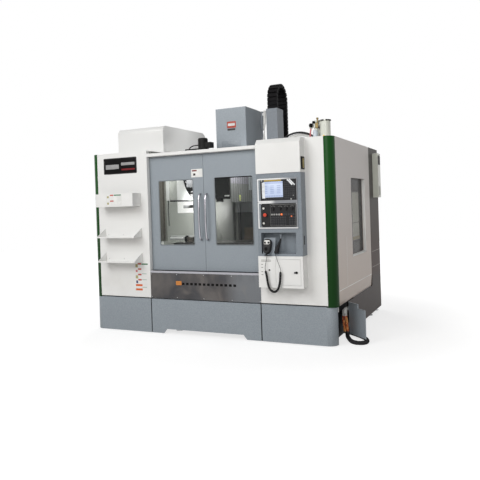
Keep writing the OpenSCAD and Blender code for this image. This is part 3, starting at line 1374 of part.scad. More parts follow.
levelling_feet();
base_casting();
coolant_tank();
front_skirts();
front_panels();
corner_columns();
side_panels();
side_window();
enclosure_frame();
kick_panel();
cabin_liner();
wall_trays();
electrical_cabinet();
cabinet_door();
cabinet_cooler();
main_switch();
magazine_hood();
tool_carousel();
arm_unit();
arm_shaft();
change_arm();
column();
spindle_head();
head_cover();
spindle();
cable_box();
drag_chain();
saddle();
table();
door_left();
door_right();
door_glass_left();
door_glass_right();
door_handle_left();
door_handle_right();
control_box_top();
control_shell();
cnc_unit();
operator_panel();
stop_mushroom();
start_button();
hold_button();
mode_knob();
feed_knob();
rapid_knob();
speed_knob();
lower_box();
lower_door();
door_latch();
pendant_body();
pendant_wheel();
pendant_axis_knob();
pendant_step_knob();
cord_upper();
cord_coil();
cord_lower();
air_unit();
access_door();
hose_bundle();
floor_conduit();
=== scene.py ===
# %% [markdown]
# # A vertical machining centre
# The CAD model gives this machine its sizes and its moving parts. This script gives it its looks:
# paint, steel, glass, rubber, the keys and the screen of its control, its cords and its small
# fittings. It loads the packed model, never moves it, and hangs every new piece on one of its
# bodies, so that the doors, the head and the table can still be posed.

# %% Load the CAD frame
import math

import bmesh
import bpy
import numpy as np
from mathutils import Matrix


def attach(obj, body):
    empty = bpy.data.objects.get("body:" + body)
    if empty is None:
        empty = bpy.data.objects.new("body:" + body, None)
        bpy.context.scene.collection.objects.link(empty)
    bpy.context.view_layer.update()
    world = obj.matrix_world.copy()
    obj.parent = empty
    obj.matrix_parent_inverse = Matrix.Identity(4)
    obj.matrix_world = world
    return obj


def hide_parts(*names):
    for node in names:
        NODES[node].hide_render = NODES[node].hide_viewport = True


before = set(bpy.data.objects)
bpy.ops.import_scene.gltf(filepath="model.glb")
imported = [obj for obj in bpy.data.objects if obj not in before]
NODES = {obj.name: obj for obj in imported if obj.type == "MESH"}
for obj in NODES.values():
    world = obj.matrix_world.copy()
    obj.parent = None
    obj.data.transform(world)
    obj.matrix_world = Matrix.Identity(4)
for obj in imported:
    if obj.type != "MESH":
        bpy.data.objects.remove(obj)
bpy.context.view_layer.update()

# %% [markdown]
# The CAD source measures from the middle of the enclosure, back from its front face and up from
# the floor, in millimetres. The packed model has its origin under the middle of the whole machine.
# One function turns the first into the second, so that every size below can be read as it would
# be from a drawing.

# %% From drawing sizes to the model
ACCESS_LENGTH, ACCESS_OPEN = 332, math.radians(46.5)  # the open access door widens the machine
MACHINE_FRONT, MACHINE_BACK = -192, 2214
MIDDLE = np.array([ACCESS_LENGTH * math.sin(ACCESS_OPEN) / 2, (MACHINE_FRONT + MACHINE_BACK) / 2, 0.0])


def place(points):
    """Drawing millimetres to model metres: subtract the middle, divide by a thousand."""
    return (np.asarray(points, float) - MIDDLE) / 1000


print("middle of the machine in the drawing:", np.round(MIDDLE, 1).tolist(), "mm")

# %% [markdown]
# The camera stands where the photograph was taken from: to the right of the machine, at eye level.
# Its place and turn were worked out from the straight edges of the machine. A level camera whose
# picture was cropped keeps its lens axis above the middle of the frame, which is what shift means.

# %% Camera
AZIMUTH, DOWN, ROLL = np.radians([25.4026, 0.5966, -1.8803])
FOCUS_PX, FRAME_PX, AXIS_ROW = 565.161, 480, 209.669

forward = np.array([-math.sin(AZIMUTH) * math.cos(DOWN), math.cos(AZIMUTH) * math.cos(DOWN),
                    -math.sin(DOWN)])
level = np.array([math.cos(AZIMUTH), math.sin(AZIMUTH), 0.0])
upward = np.cross(level, forward)
right_hand = math.cos(ROLL) * level + math.sin(ROLL) * upward
head_up = -math.sin(ROLL) * level + math.cos(ROLL) * upward

lens = bpy.data.cameras.new("camera")
lens.lens = 36 * FOCUS_PX / FRAME_PX
lens.shift_y = -(FRAME_PX / 2 - AXIS_ROW) / FRAME_PX
lens.clip_end = 60
camera = bpy.data.objects.new("camera", lens)
turn = np.column_stack([right_hand, head_up, -forward])
stand = place([3191.3, -5677.5, 1523.1])
camera.matrix_world = Matrix([[*row, value] for row, value in zip(turn, stand)] + [[0, 0, 0, 1]])
bpy.context.scene.collection.objects.link(camera)
bpy.context.scene.camera = camera
bpy.context.scene.view_settings.view_transform = "Standard"
print("lens", round(lens.lens, 2), "shift", round(lens.shift_y, 4))

# %% [markdown]
# Every new piece is a surface: a table of points with rows and columns. Neighbouring points in
# the table become the corners of a four-sided face. A closed direction joins its last row to its
# first, and an end row can be filled with one flat face, so that the piece has no holes.

# %% From tables of points to meshes
def skin(table, wrap_rows=False, wrap_columns=True, cap_first=False, cap_last=False):
    """Points (rows, columns, 3) to faces: corner (i, j) joins (i, j+1), (i+1, j+1) and (i+1, j)."""
    rows, columns = table.shape[:2]
    i = np.arange(rows if wrap_rows else rows - 1)[:, None]
    j = np.arange(columns if wrap_columns else columns - 1)[None, :]
    ni, nj = (i + 1) % rows, (j + 1) % columns
    corners = (i * columns + j, i * columns + nj, ni * columns + nj, ni * columns + j)
    faces = np.stack(np.broadcast_arrays(*corners), -1).reshape(-1, 4).tolist()
    if cap_first:
        faces.append(list(range(columns))[::-1])
    if cap_last:
        faces.append([(rows - 1) * columns + k for k in range(columns)])
    return table.reshape(-1, 3), faces


def joined(parts):
    """Several (vertices, faces) as one, the later faces counting on from the earlier vertices."""
    points, faces, count = [], [], 0
    for v, f in parts:
        points.append(v)
        faces += [[k + count for k in face] for face in f]
        count += len(v)
    return np.concatenate(points), faces


print("a sheet of 3 x 4 points has", len(skin(np.zeros((3, 4, 3)), wrap_columns=False)[1]), "faces")

# %% [markdown]
# A new piece is shaded smooth and keeps its sharp folds, its faces are turned outwards, and it
# rides on one of the machine's bodies. Where it is the finished form of a CAD node, it says so, and
# the plain node is left out of the picture.

# %% Hang a piece on a body
made = []
SHARP_ANGLE = math.radians(35)  # a fold sharper than this stays an edge


def piece(name, shape, material, body="machine_frame", stands_for=()):
    """A mesh object at the origin, in model metres, hung on a CAD body."""
    points, faces = shape
    mesh = bpy.data.meshes.new(name)
    mesh.from_pydata(place(points).tolist(), [], faces)
    mesh.update()
    shell = bmesh.new()
    shell.from_mesh(mesh)
    if shell.calc_volume(signed=True) < 0:
        mesh.flip_normals()
    shell.free()
    mesh.shade_smooth()
    mesh.set_sharp_from_angle(angle=SHARP_ANGLE)
    thing = bpy.data.objects.new(name, mesh)
    bpy.context.scene.collection.objects.link(thing)
    thing.data.materials.append(material)
    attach(thing, body)
    if stands_for:
        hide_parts(*stands_for)
    made.append(name)
    return thing


print("folds stay sharp above", round(math.degrees(SHARP_ANGLE)), "degrees")

# %% [markdown]
# A cord, a hose or a bent bar is a ring carried along a line. The ring must not twist on the way,
# so its two directions come from one fixed direction that the line never runs along.

# %% Smooth lines and tubes
def smooth_line(knots, steps):
    """A curve through the knots: each stretch is a cubic that also leans on the knots around it."""
    k = np.asarray(knots, float)
    a, b, c, d = np.vstack([k[:1], k[:-2]]), k[:-1], k[1:], np.vstack([k[2:], k[-1:]])
    t = (np.arange(steps) / steps)[None, :, None]
    a, b, c, d = (m[:, None, :] for m in (a, b, c, d))
    curve = 0.5 * (2 * b + (c - a) * t + (2 * a - 5 * b + 4 * c - d) * t**2
                   + (3 * b - a - 3 * c + d) * t**3)
    return np.vstack([curve.reshape(-1, 3), k[-1:]])


def unit(v):
    """The same direction with length 1: a vector divided by its length."""
    return v / np.linalg.norm(v, axis=-1, keepdims=True)


def directions(line, aside):
    """For each point of a line: forwards, sideways and the third direction square to both."""
    ahead = unit(np.gradient(line, axis=0))
    side = unit(np.cross(ahead, aside))
    return ahead, side, np.cross(side, ahead)


def tube(line, radius, sides=12, aside=(0, 1, 0)):
    """A ring of the given radius (a number, or one per point) carried along a line, ends closed."""
    ahead, side, other = directions(line, np.array(aside, float))
    angle = np.linspace(0, 2 * np.pi, sides, endpoint=False)[None, :, None]
    reach = np.broadcast_to(np.asarray(radius, float), (len(line),))[:, None, None]
    ring = np.cos(angle) * side[:, None, :] - np.sin(angle) * other[:, None, :]
    return skin(line[:, None, :] + reach * ring, cap_first=True, cap_last=True)


print("a straight tube of 12 sides has", len(tube(np.outer(np.arange(3.0), [0, 0, 1]), 1.0)[1]), "faces")


# %% [markdown]
# ## Shader sums
# A procedural material is a sum: a bit of noise here, a mask there. It could be drawn in the node
# editor, but as text a sum is easier to read and to change. So a small class wraps a socket and
# lets Python's own signs add the Math nodes. Its method node adds any other node.

# %% A socket that can be added and multiplied
class Wire:
    """One output of a node tree. wire * 0.5 + 1 adds the Math nodes for it."""

    def __init__(self, tree, socket=None):
        self.tree, self.socket = tree, socket

    def node(self, kind, settings=None, sockets=None, out=0):
        """Adds a node: its settings first, then the values or wires of its sockets."""
        made_node = self.tree.nodes.new(kind)
        for key, value in (settings or {}).items():
            setattr(made_node, key, value)
        for key, value in (sockets or {}).items():
            if isinstance(value, Wire):
                self.tree.links.new(value.socket, made_node.inputs[key])
            else:
                made_node.inputs[key].default_value = value
        return Wire(self.tree, made_node.outputs[out])

    def sum(self, operation, first, second):
        """One Math node on two wires or numbers."""
        return self.node("ShaderNodeMath", {"operation": operation}, {0: first, 1: second})

    def __add__(self, other):
        return self.sum("ADD", self, other)

    __radd__ = __add__

    def __sub__(self, other):
        return self.sum("SUBTRACT", self, other)

    def __rsub__(self, other):
        return self.sum("SUBTRACT", other, self)

    def __mul__(self, other):
        return self.sum("MULTIPLY", self, other)

    __rmul__ = __mul__

    def __truediv__(self, other):
        return self.sum("DIVIDE", self, other)

    def above(self, edge, width):
        """0 below edge, 1 above edge + width, with a soft step between."""
        return self.node("ShaderNodeMapRange", {"interpolation_type": "SMOOTHSTEP"},
                         {0: self, 1: edge, 2: edge + width, 3: 0.0, 4: 1.0})

    def mix(self, first, second):
        """A colour: first where the wire is 0, second where it is 1."""
        first, second = (c if isinstance(c, Wire) else (*c, 1) for c in (first, second))
        return self.node("ShaderNodeMix", {"data_type": "RGBA"}, {0: self, 6: first, 7: second}, out=2)

    def noise(self, scale, detail=2.0, rough=0.5):
        """Cloudy noise around 0.5 read at this vector; scale is in bumps per metre."""
        return self.node("ShaderNodeTexNoise", None,
                         {0: self, "Scale": scale, "Detail": detail, "Roughness": rough})

    def stretched(self, x, y, z):
        """This vector with its three directions scaled."""
        return self.node("ShaderNodeVectorMath", {"operation": "MULTIPLY"}, {0: self, 1: (x, y, z)})

    def part(self, letter):
        """One of the three numbers of this vector."""
        return self.node("ShaderNodeSeparateXYZ", None, {0: self}, out="XYZ".index(letter))


print("sums:", ", ".join(name for name in vars(Wire) if not name.startswith("_")))

# %% [markdown]
# A material starts as Blender's own shader for solid things. The second class keeps that shader
# beside the place on the object, so that a finish is written as its colour, roughness and bump.

# %% A finish
class Finish:
    """A material with its Principled shader; where is the Object coordinate, in metres."""

    def __init__(self, name, **constants):
        self.material = bpy.data.materials.new(name)
        self.material.use_nodes = True
        self.tree = self.material.node_tree
        self.shader = self.tree.nodes["Principled BSDF"]
        self.where = Wire(self.tree).node("ShaderNodeTexCoord", out=3)
        self.set(**constants)

    def noise(self, *how):
        """Cloudy noise at this place."""
        return self.where.noise(*how)

    def part(self, letter):
        """X, Y or Z of this place."""
        return self.where.part(letter)

    def set(self, **values):
        """Numbers, colours or wires into the sockets of these names."""
        for key, value in values.items():
            socket = self.shader.inputs[key.replace("_", " ")]
            if isinstance(value, Wire):
                self.tree.links.new(value.socket, socket)
            else:
                socket.default_value = (*value, 1) if isinstance(value, tuple) else value
        return self

    def bump(self, height, depth, strength=1.0):
        """Height 0 to 1 times depth in metres, into the normal."""
        sockets = {"Strength": strength, "Distance": depth, "Height": height}
        return self.set(Normal=Wire(self.tree).node("ShaderNodeBump", None, sockets))


print("a finish has:", ", ".join(name for name in vars(Finish) if not name.startswith("_")))

# %% [markdown]
# ## Paints
# The panels are powder coated: nearly white, half matt, with the fine orange-peel skin that powder
# leaves when it melts. Handling leaves faint grey clouds low down. The doors, the skirts and the
# control's shell have a grey structure paint: small rounded pimples with darker paint between.

# %% Powder coat and structure paint
def powder_coat(name, colour, soiled, rough=0.42):
    """Clean to soiled by cloud * (0.18 + 0.55 * how low it is), with an orange-peel bump."""
    f = Finish(name, Coat_Weight=0.15, Coat_Roughness=0.25)
    cloud = f.noise(2.2, 4).above(0.45, 0.35)
    low = 1 - f.part("Z").above(0.35, 0.6)
    dirt = cloud * (low * 0.55 + 0.18)
    f.set(Base_Color=dirt.mix(colour, soiled), Roughness=f.noise(35, 2) * 0.12 + (rough - 0.06))
    return f.bump(f.noise(420, 2), 0.00022, 0.5).material


def structure_paint(name, light, dark, rough=0.5):
    """Dark to light by a sum of fine specks, pimples and broad clouds; the pimples stand out."""
    f = Finish(name, Coat_Weight=0.1, Coat_Roughness=0.3)
    pimples = f.where.node("ShaderNodeTexVoronoi", {"feature": "SMOOTH_F1"},
                           {0: f.where, "Scale": 330.0})
    broad = f.noise(3.0, 3)
    mottled = f.noise(120, 3).above(0.35, 0.3)
    f.set(Base_Color=(mottled * 0.6 + pimples * 0.5 + broad * 0.25 - 0.1).mix(dark, light),
          Roughness=pimples * 0.2 + (rough - 0.08))
    return f.bump(1 - pimples, 0.0005, 0.6).material


panel_white = powder_coat("panel_white", (0.78, 0.78, 0.765), (0.62, 0.61, 0.58))
# shade_white is a greyer copy of the white for the white parts inside the working space: painted shade.
shade_white = powder_coat("shade_white", (0.66, 0.68, 0.66), (0.50, 0.51, 0.48), 0.5)
door_grey = structure_paint("door_grey", (0.30, 0.337, 0.368), (0.215, 0.245, 0.275))
cover_grey = structure_paint("cover_grey", (0.36, 0.40, 0.435), (0.26, 0.295, 0.33))
box_grey = structure_paint("box_grey", (0.225, 0.250, 0.280), (0.155, 0.175, 0.20))
shell_grey = structure_paint("shell_grey", (0.225, 0.255, 0.285), (0.15, 0.175, 0.20))


def side_paint_with_painted_reflection():
    """The side panels: powder coat pinker and darker than the front's white, and warmer and darker
    still towards the floor: painted shade and a painted reflection of the floor.
    """
    f = Finish("side_white_painted_reflection", Coat_Weight=0.1, Coat_Roughness=0.3, Specular_IOR_Level=0.3)
    low = f.part("Z").above(1.9, -1.5)
    speck = f.noise(160, 2).above(0.45, 0.2)
    tone = low.mix((0.72, 0.675, 0.65), (0.60, 0.50, 0.43))
    f.set(Base_Color=(speck * 0.25).mix(tone, (0.50, 0.48, 0.47)),
          Roughness=f.noise(35, 2) * 0.12 + 0.38)
    return f.bump(f.noise(420, 2), 0.00022, 0.5).material


side_white_painted_reflection = side_paint_with_painted_reflection()
print("paints: 7")

# %% [markdown]
# ## Enamels
# The iron castings wear a thick grey machine enamel with the slight waves of filler under it; the
# head, the magazine and the cream boxes have a thinner one. Two noises do it, a broad one for the
# filler and a fine one for the skin, which is cheaper than moving the surface itself.

# %% Enamel
def enamel(name, colour, worn, rough, wave=9.0, depth=0.0006, coat=0.5, shine=0.5):
    """Fresh to worn by half a cloud; the bump is a broad wave plus 0.12 of a fine one."""
    f = Finish(name, Coat_Weight=coat, Coat_Roughness=0.12, Specular_IOR_Level=shine)
    tone = f.noise(5.0, 4).above(0.4, 0.4)
    f.set(Base_Color=(tone * 0.5).mix(colour, worn), Roughness=f.noise(60, 3) * 0.1 + (rough - 0.05))
    return f.bump(f.noise(wave, 2) + f.noise(300, 2) * 0.12, depth, 0.5).material


cast_enamel = enamel("cast_enamel", (0.30, 0.32, 0.33), (0.24, 0.26, 0.27), 0.45)
black_enamel = enamel("black_enamel", (0.010, 0.010, 0.009), (0.018, 0.017, 0.015), 0.45,
                      coat=0.03, shine=0.15)
cream_enamel = enamel("cream_enamel", (0.66, 0.68, 0.60), (0.58, 0.60, 0.53), 0.40, 120, 0.0002)
print("enamels: 3")

# %% [markdown]
# The corner columns are smooth glossy green. The rear cabinet is a dark brown-grey. Both get deeper
# towards the floor, which on the columns is painted shade and on the cabinet a painted reflection of
# the brown floor, so their colour is mixed by height.

# %% Cabinet paint and gloss green
def cabinet_paint_with_painted_reflection():
    """Dark satin paint with a painted reflection of the brown shop floor low down, greyer again at its
    foot: colour goes by height.
    """
    f = Finish("cabinet_dark", Specular_IOR_Level=0.07)
    height = f.part("Z")
    low = height.above(1.75, -1.0)
    brown = low.mix((0.098, 0.094, 0.088), (0.052, 0.027, 0.018))
    foot = height.above(0.60, -0.12).mix(brown, (0.044, 0.033, 0.030))
    f.set(Base_Color=(f.noise(5, 3) * 0.3).mix(foot, (0.085, 0.070, 0.062)),
          Roughness=f.noise(60, 3) * 0.1 + 0.40)
    return f.bump(f.noise(200, 2), 0.0002, 0.4).material


def column_green_with_painted_shade():
    """Gloss green, deeper towards the floor: painted shade."""
    f = Finish("leaf_green", Coat_Weight=0.06, Coat_Roughness=0.15, Specular_IOR_Level=0.12)
    low = f.part("Z").above(2.1, -1.6)
    f.set(Base_Color=low.mix((0.005, 0.066, 0.007), (0.0005, 0.032, 0.0005)),
          Roughness=f.noise(60, 3) * 0.08 + 0.32)
    return f.bump(f.noise(9, 2), 0.0004, 0.4).material


cabinet_dark, leaf_green = cabinet_paint_with_painted_reflection(), column_green_with_painted_shade()
print("colours by height:", cabinet_dark.name, "and", leaf_green.name)

# %% [markdown]
# ## Metals
# Rolled stainless sheet shows hair lines along its length: noise stretched a hundredfold along one
# direction. Ground steel has them across the table. Chrome is nearly a mirror, with a few smears.

# %% Steels and chrome
def hair_steel(name, colour, rough, along, depth=0.00003):
    """Dim to bright by 0.7 of the hair lines and 0.2 of the smears, which also roughen it."""
    f = Finish(name, Metallic=1.0)
    lines = f.where.stretched(*along).noise(1.0, 4, 0.7)
    smear = f.noise(4.0, 3).above(0.45, 0.3)
    dim = tuple(c * 0.8 for c in colour)
    f.set(Base_Color=(lines * 0.7 + smear * 0.2).mix(dim, colour),
          Roughness=lines * 0.12 + smear * 0.06 + (rough - 0.08))
    return f.bump(lines, depth, 0.4).material


ground_steel = hair_steel("ground_steel", (0.52, 0.53, 0.54), 0.30, (8, 700, 60))
table_steel = hair_steel("table_steel", (0.12, 0.115, 0.11), 0.34, (8, 700, 60))
turned_steel = hair_steel("turned_steel", (0.55, 0.56, 0.57), 0.26, (60, 60, 900))
arm_steel = hair_steel("arm_steel", (0.40, 0.41, 0.40), 0.52, (60, 700, 60))
oiled_steel = hair_steel("oiled_steel", (0.075, 0.072, 0.068), 0.30, (60, 60, 900))
chrome = hair_steel("chrome", (0.50, 0.49, 0.52), 0.16, (30, 30, 60))
brass = hair_steel("brass", (0.62, 0.43, 0.16), 0.30, (200, 200, 200))
print("metals: 7")

# %% [markdown]
# The kick panel is bright rolled steel. What it mirrors of the shop is a painted reflection in its
# colour: broad swirls of brown, grey and teal, bent by the slight waves of the sheet. Waves are noise
# stretched along the sheet, and a second noise moves where the first one is read.

# %% Mirror-bright kick panel
def painted_shop_reflection():
    """A painted reflection in layers of colour: warm swirls, a cool right part, upright bars and a
    few pale streaks.
    """
    f = Finish("painted_shop_reflection", Metallic=1.0)
    moved = f.where.node("ShaderNodeVectorMath", {"operation": "ADD"},
                         {0: f.where.stretched(1, 1, 0.55), 1: f.noise(1.6, 2) * 0.9})
    swirl = moved.noise(2.6, 3, 0.62)
    warm = swirl.above(0.30, 0.40).mix((0.112, 0.103, 0.098), (0.055, 0.054, 0.057))
    right = f.part("X").above(0.10, 0.25)
    cool = (right * 0.8 + moved.noise(1.7, 2).above(0.52, 0.3) * 0.25).mix(warm, (0.150, 0.158, 0.168))
    upright = (f.where.stretched(9, 1, 0.8).noise(1.0, 2).above(0.50, 0.22)
               * f.part("Z").above(0.60, 0.10))
    bars = (upright * 0.55).mix(cool, (0.060, 0.062, 0.070))
    streak = (moved.noise(4.2, 1).above(0.62, 0.10) * 0.2).mix(bars, (0.24, 0.21, 0.18))
    f.set(Base_Color=streak, Roughness=f.noise(30, 2) * 0.08 + 0.16)
    return f.bump(f.noise(6, 2), 0.0004, 0.3).material


kick_painted_reflection = painted_shop_reflection()
print("nodes in the mirror:", len(kick_painted_reflection.node_tree.nodes))

# %% [markdown]
# ## Plastics, rubber and glass
# Moulded plastic has a fine spark-eroded grain. Rubber is dull with a bloom of grey. Both are one
# colour that clouds lift a little, so one function makes them all and only its numbers differ.

# %% Plastics and rubber
def moulded(name, colour, rough=0.45, grain=900, coat=0.0, shine=0.2):
    """The colour, lifted by half a cloud towards 1.35 times itself, over a fine grain."""
    f = Finish(name, Coat_Weight=coat, Coat_Roughness=0.1, Specular_IOR_Level=shine)
    speckle = f.noise(grain, 2)
    lift = tuple(min(1, c * 1.35 + 0.006) for c in colour)
    f.set(Base_Color=(f.noise(14, 3).above(0.35, 0.4) * 0.5).mix(colour, lift),
          Roughness=speckle * 0.16 + (rough - 0.08))
    return f.bump(speckle, 0.00012, 0.5).material


black_plastic = moulded("black_plastic", (0.014, 0.014, 0.015))
chain_black = moulded("chain_black", (0.004, 0.0035, 0.004), 0.6, shine=0.08)
soft_black = moulded("soft_black", (0.012, 0.012, 0.013), 0.62, 500)
cord_rubber = moulded("cord_rubber", (0.010, 0.010, 0.011), 0.5, 700)
red_plastic = moulded("red_plastic", (0.55, 0.05, 0.02), 0.32, 600, 0.4)
key_white = moulded("key_white", (0.66, 0.66, 0.63), 0.4, 700)
key_grey = moulded("key_grey", (0.040, 0.041, 0.045), 0.5, 700)
key_pale = moulded("key_pale", (0.30, 0.30, 0.29), 0.5, 700)
plate_dark = moulded("plate_dark", (0.045, 0.04, 0.04), 0.4, 400)
plate_black = moulded("plate_black", (0.003, 0.003, 0.003), 0.5, 300, shine=0.06)
hose_pink = moulded("hose_pink", (0.55, 0.16, 0.16), 0.4, 300, 0.3)
hose_plum = moulded("hose_plum", (0.055, 0.035, 0.065), 0.4, 300, 0.3)
hose_white = moulded("hose_white", (0.70, 0.70, 0.68), 0.45, 300, 0.1)
filter_tan = moulded("filter_tan", (0.42, 0.36, 0.19), 0.9, 260)
print("materials so far:", len(bpy.data.materials))

# %% [markdown]
# The panes are thick polycarbonate: mostly clear, a little grey, with a gloss that picks up the
# lamps. Alpha makes them see-through, which costs less than real refraction and keeps them thin.

# %% Panes
def pane(name, tint, alpha):
    """See-through by alpha plus 0.04 of a smear; the slight waves of the sheet are a bump."""
    f = Finish(name, Roughness=0.04, Coat_Weight=0.0, IOR=1.5)
    smear = f.noise(3.0, 4).above(0.45, 0.4)
    f.set(Base_Color=smear.mix(tint, tuple(min(1, c + 0.05) for c in tint)), Alpha=smear * 0.04 + alpha)
    return f.bump(f.noise(2.5, 1), 0.0006, 0.3).material


clear_pane = pane("clear_pane", (0.20, 0.22, 0.22), 0.05)
side_pane = pane("side_pane", (0.26, 0.255, 0.25), 0.22)
print("materials:", len(bpy.data.materials))

# %% [markdown]
# ## Finishes that change over one piece
# Some CAD pieces carry two or three finishes: the column has bright way covers above, a near-black
# painted shade with brown patches of oil below them and a plain beige guard on its left, and the
# liner's left cheek is ribbed, its grooves painted shade. They could be cut into several meshes, but
# the CAD mesh stays as it is, so one material tells the places apart by position.

# %% Column
def column_coat():
    """Way covers and guard in front, below the covers a near-black painted shade with brown patches of
    oil; behind the front plane the casting's own grey.
    """
    f = Finish("column_coat", Specular_IOR_Level=0.3)
    side, depth, height = (f.part(k) for k in "XYZ")
    brown = side.above(-0.245, 0.03) * (1 - height.above(1.19, 0.01)) * height.above(1.02, 0.01)
    shade_and_oil = (brown * f.noise(6, 4).above(0.30, 0.3)).mix((0.020, 0.017, 0.014), (0.080, 0.050, 0.022))
    beige = (0.20, 0.205, 0.18)
    cover = side.above(-0.333, 0.003).mix((0.44, 0.465, 0.43), (0.30, 0.305, 0.32))
    below = side.above(-0.322, 0.003).mix(beige, shade_and_oil)
    above = side.above(-0.418, 0.003).mix(beige, cover)
    front = height.above(1.402, 0.005).mix(below, above)
    whole = depth.above(0.45, 0.004).mix(front, (0.30, 0.32, 0.33))
    f.set(Base_Color=(f.noise(5, 4) * 0.2).mix(whole, (0.20, 0.21, 0.21)),
          Roughness=f.noise(60, 3) * 0.12 + 0.4)
    return f.bump(f.noise(9, 2), 0.0006, 0.4).material


column_paint = column_coat()
print("nodes in the column's coat:", len(column_paint.node_tree.nodes))

# %% [markdown]
# The ribs of the left cheek are pressed into the real sheet. They are shallow and seen only through
# the pane, so here they are stripes: a coordinate folded back and forth gives a groove every 28 mm,
# and the grooves are darker: painted shade.

# %% Liner
RIB_FOLD, REAR_WALL = 0.014, 0.325


def liner_coat():
    """White; the left cheek's front part ribbed and grey-green, its grooves painted shade, the rear wall
    duller, and duller still where the column shades it: a painted shade."""
    f = Finish("liner_coat", Specular_IOR_Level=0.2)
    side, depth, height = (f.part(k) for k in "XYZ")
    cheek = (side.above(-0.823, 0.002) * (1 - side.above(-0.814, 0.002))
             * (1 - depth.above(-0.40, 0.02)))
    groove = depth.sum("PINGPONG", depth, RIB_FOLD).above(0.008, 0.004)
    ribbed = (groove * 0.8).mix((0.30, 0.315, 0.285), (0.20, 0.21, 0.19))
    rear = depth.above(REAR_WALL, 0.002).mix((0.62, 0.64, 0.61), (0.33, 0.345, 0.315))
    shaded = depth.above(REAR_WALL, 0.002) * side.above(-0.97, 0.06)
    f.set(Base_Color=cheek.mix(shaded.mix(rear, (0.215, 0.23, 0.205)), ribbed),
          Roughness=f.noise(35, 2) * 0.12 + 0.44)
    return f.bump(f.noise(420, 2), 0.00022, 0.5).material


liner_paint = liner_coat()
print("liner ribs every", round(2000 * RIB_FOLD), "mm")

# %% [markdown]
# The tool changer's drive is black where it stands above the roof and grey and ribbed below. The
# hoses in the bay beside the access door wear sleeves of several colours, one above the other.

# %% Drive and hoses
def unit_coat():
    """Black on the roof, below it a grey ribbed cover with a dark upper edge; the ribs are painted
    stripes of light and shade.
    """
    f = Finish("unit_coat", Specular_IOR_Level=0.15)
    side, height = f.part("X"), f.part("Z")
    rib = side.sum("PINGPONG", side, 0.013).above(0.006, 0.006)
    cover = rib.mix((0.21, 0.215, 0.22), (0.13, 0.135, 0.135))
    f.set(Base_Color=height.above(1.88, 0.004).mix(cover, (0.010, 0.010, 0.009)),
          Roughness=f.noise(60, 3) * 0.1 + 0.42)
    return f.bump(f.noise(9, 2), 0.0005, 0.4).material


def hose_coat():
    """White sleeves on top, then orange, amber and dark red ones, black at the lower ends."""
    f = Finish("hose_coat", Coat_Weight=0.2, Specular_IOR_Level=0.3)
    height = f.part("Z")
    pick = f.where.stretched(60, 60, 6).noise(1.0, 1)
    orange = pick.above(0.40, 0.04).mix((0.22, 0.02, 0.015), (0.62, 0.13, 0.03))
    warm = pick.above(0.50, 0.05).mix(orange, (0.70, 0.36, 0.12))
    sleeves = height.above(0.238, 0.012).mix(warm, (0.66, 0.66, 0.64))
    f.set(Base_Color=height.above(0.085, 0.02).mix((0.01, 0.01, 0.01), sleeves),
          Roughness=f.noise(80, 2) * 0.1 + 0.38)
    return f.bump(f.where.stretched(20, 20, 420).noise(1.0, 1), 0.0006, 0.5).material


unit_paint, hose_paint = unit_coat(), hose_coat()
print("finishes that go by place: 4")

# %% [markdown]
# ## Paint the CAD parts
# Each CAD node takes the finish of the real part. The check at the end makes sure that no node
# stays bare.

# %% Finishes of the CAD nodes
FINISHES = {
    side_white_painted_reflection: ["side_panels"],
    panel_white: ["front_panels", "enclosure_frame", "wall_trays", "magazine_hood",
                  "control_box_top", "lower_box", "lower_door"],
    liner_paint: ["cabin_liner"],
    unit_paint: ["arm_unit"],
    hose_paint: ["hose_bundle"],
    door_grey: ["door_left", "door_right", "front_skirts", "access_door", "coolant_tank"],
    cover_grey: ["head_cover"],
    box_grey: ["cable_box"],
    shell_grey: ["control_shell"],
    leaf_green: ["corner_columns"],
    cabinet_dark: ["electrical_cabinet", "cabinet_door"],
    cast_enamel: ["base_casting", "saddle"],
    column_paint: ["column"],
    black_enamel: ["spindle_head", "tool_carousel"],
    cream_enamel: ["cabinet_cooler", "air_unit"],
    kick_painted_reflection: ["kick_panel"],
    table_steel: ["table"],
    arm_steel: ["change_arm"],
    turned_steel: ["arm_shaft", "levelling_feet"],
    oiled_steel: ["spindle"],
    chrome: ["door_handle_left", "door_handle_right"],
    chain_black: ["drag_chain"],
    black_plastic: ["cnc_unit", "operator_panel", "mode_knob", "feed_knob", "rapid_knob",
                    "speed_knob", "door_latch", "pendant_body", "pendant_wheel",
                    "pendant_axis_knob", "pendant_step_knob"],
    red_plastic: ["stop_mushroom", "main_switch"],
    key_white: ["start_button", "hold_button"],
    clear_pane: ["door_glass_left", "door_glass_right"],
    side_pane: ["side_window"],
    cord_rubber: ["cord_upper", "cord_coil", "cord_lower", "floor_conduit"],
}

for material, names in FINISHES.items():
    for name in names:
        NODES[name].data.materials.clear()
        NODES[name].data.materials.append(material)
unpainted = set(NODES) - {name for names in FINISHES.values() for name in names}
assert not unpainted, unpainted
print("painted", len(NODES), "nodes")

# %% [markdown]
# Folded and cast edges are never quite sharp: a narrow line along them catches the light. It is a
# bevel, added as a modifier, which leaves the CAD mesh itself as it is.

# %% Edges that catch the light
BEVELLED = {"front_panels": 2, "wall_trays": 1, "magazine_hood": 2, "control_box_top": 3,
            "lower_box": 2.5, "lower_door": 2, "door_left": 1.2, "door_right": 1.2,
            "front_skirts": 1.5, "head_cover": 2.5, "cable_box": 2.5, "control_shell": 2.5,
            "electrical_cabinet": 2, "cabinet_door": 2, "cabinet_cooler": 4, "table": 1.5,
            "base_casting": 6, "column": 6, "spindle_head": 6, "saddle": 4, "enclosure_frame": 1.2,
            "cnc_unit": 1.0, "operator_panel": 0.8, "arm_unit": 3, "access_door": 1, "change_arm": 2}
WELD_GAP = 0.00002  # metres; joins the loose triangles, so that the bevel finds their edges
BEVEL_FROM = math.radians(40)

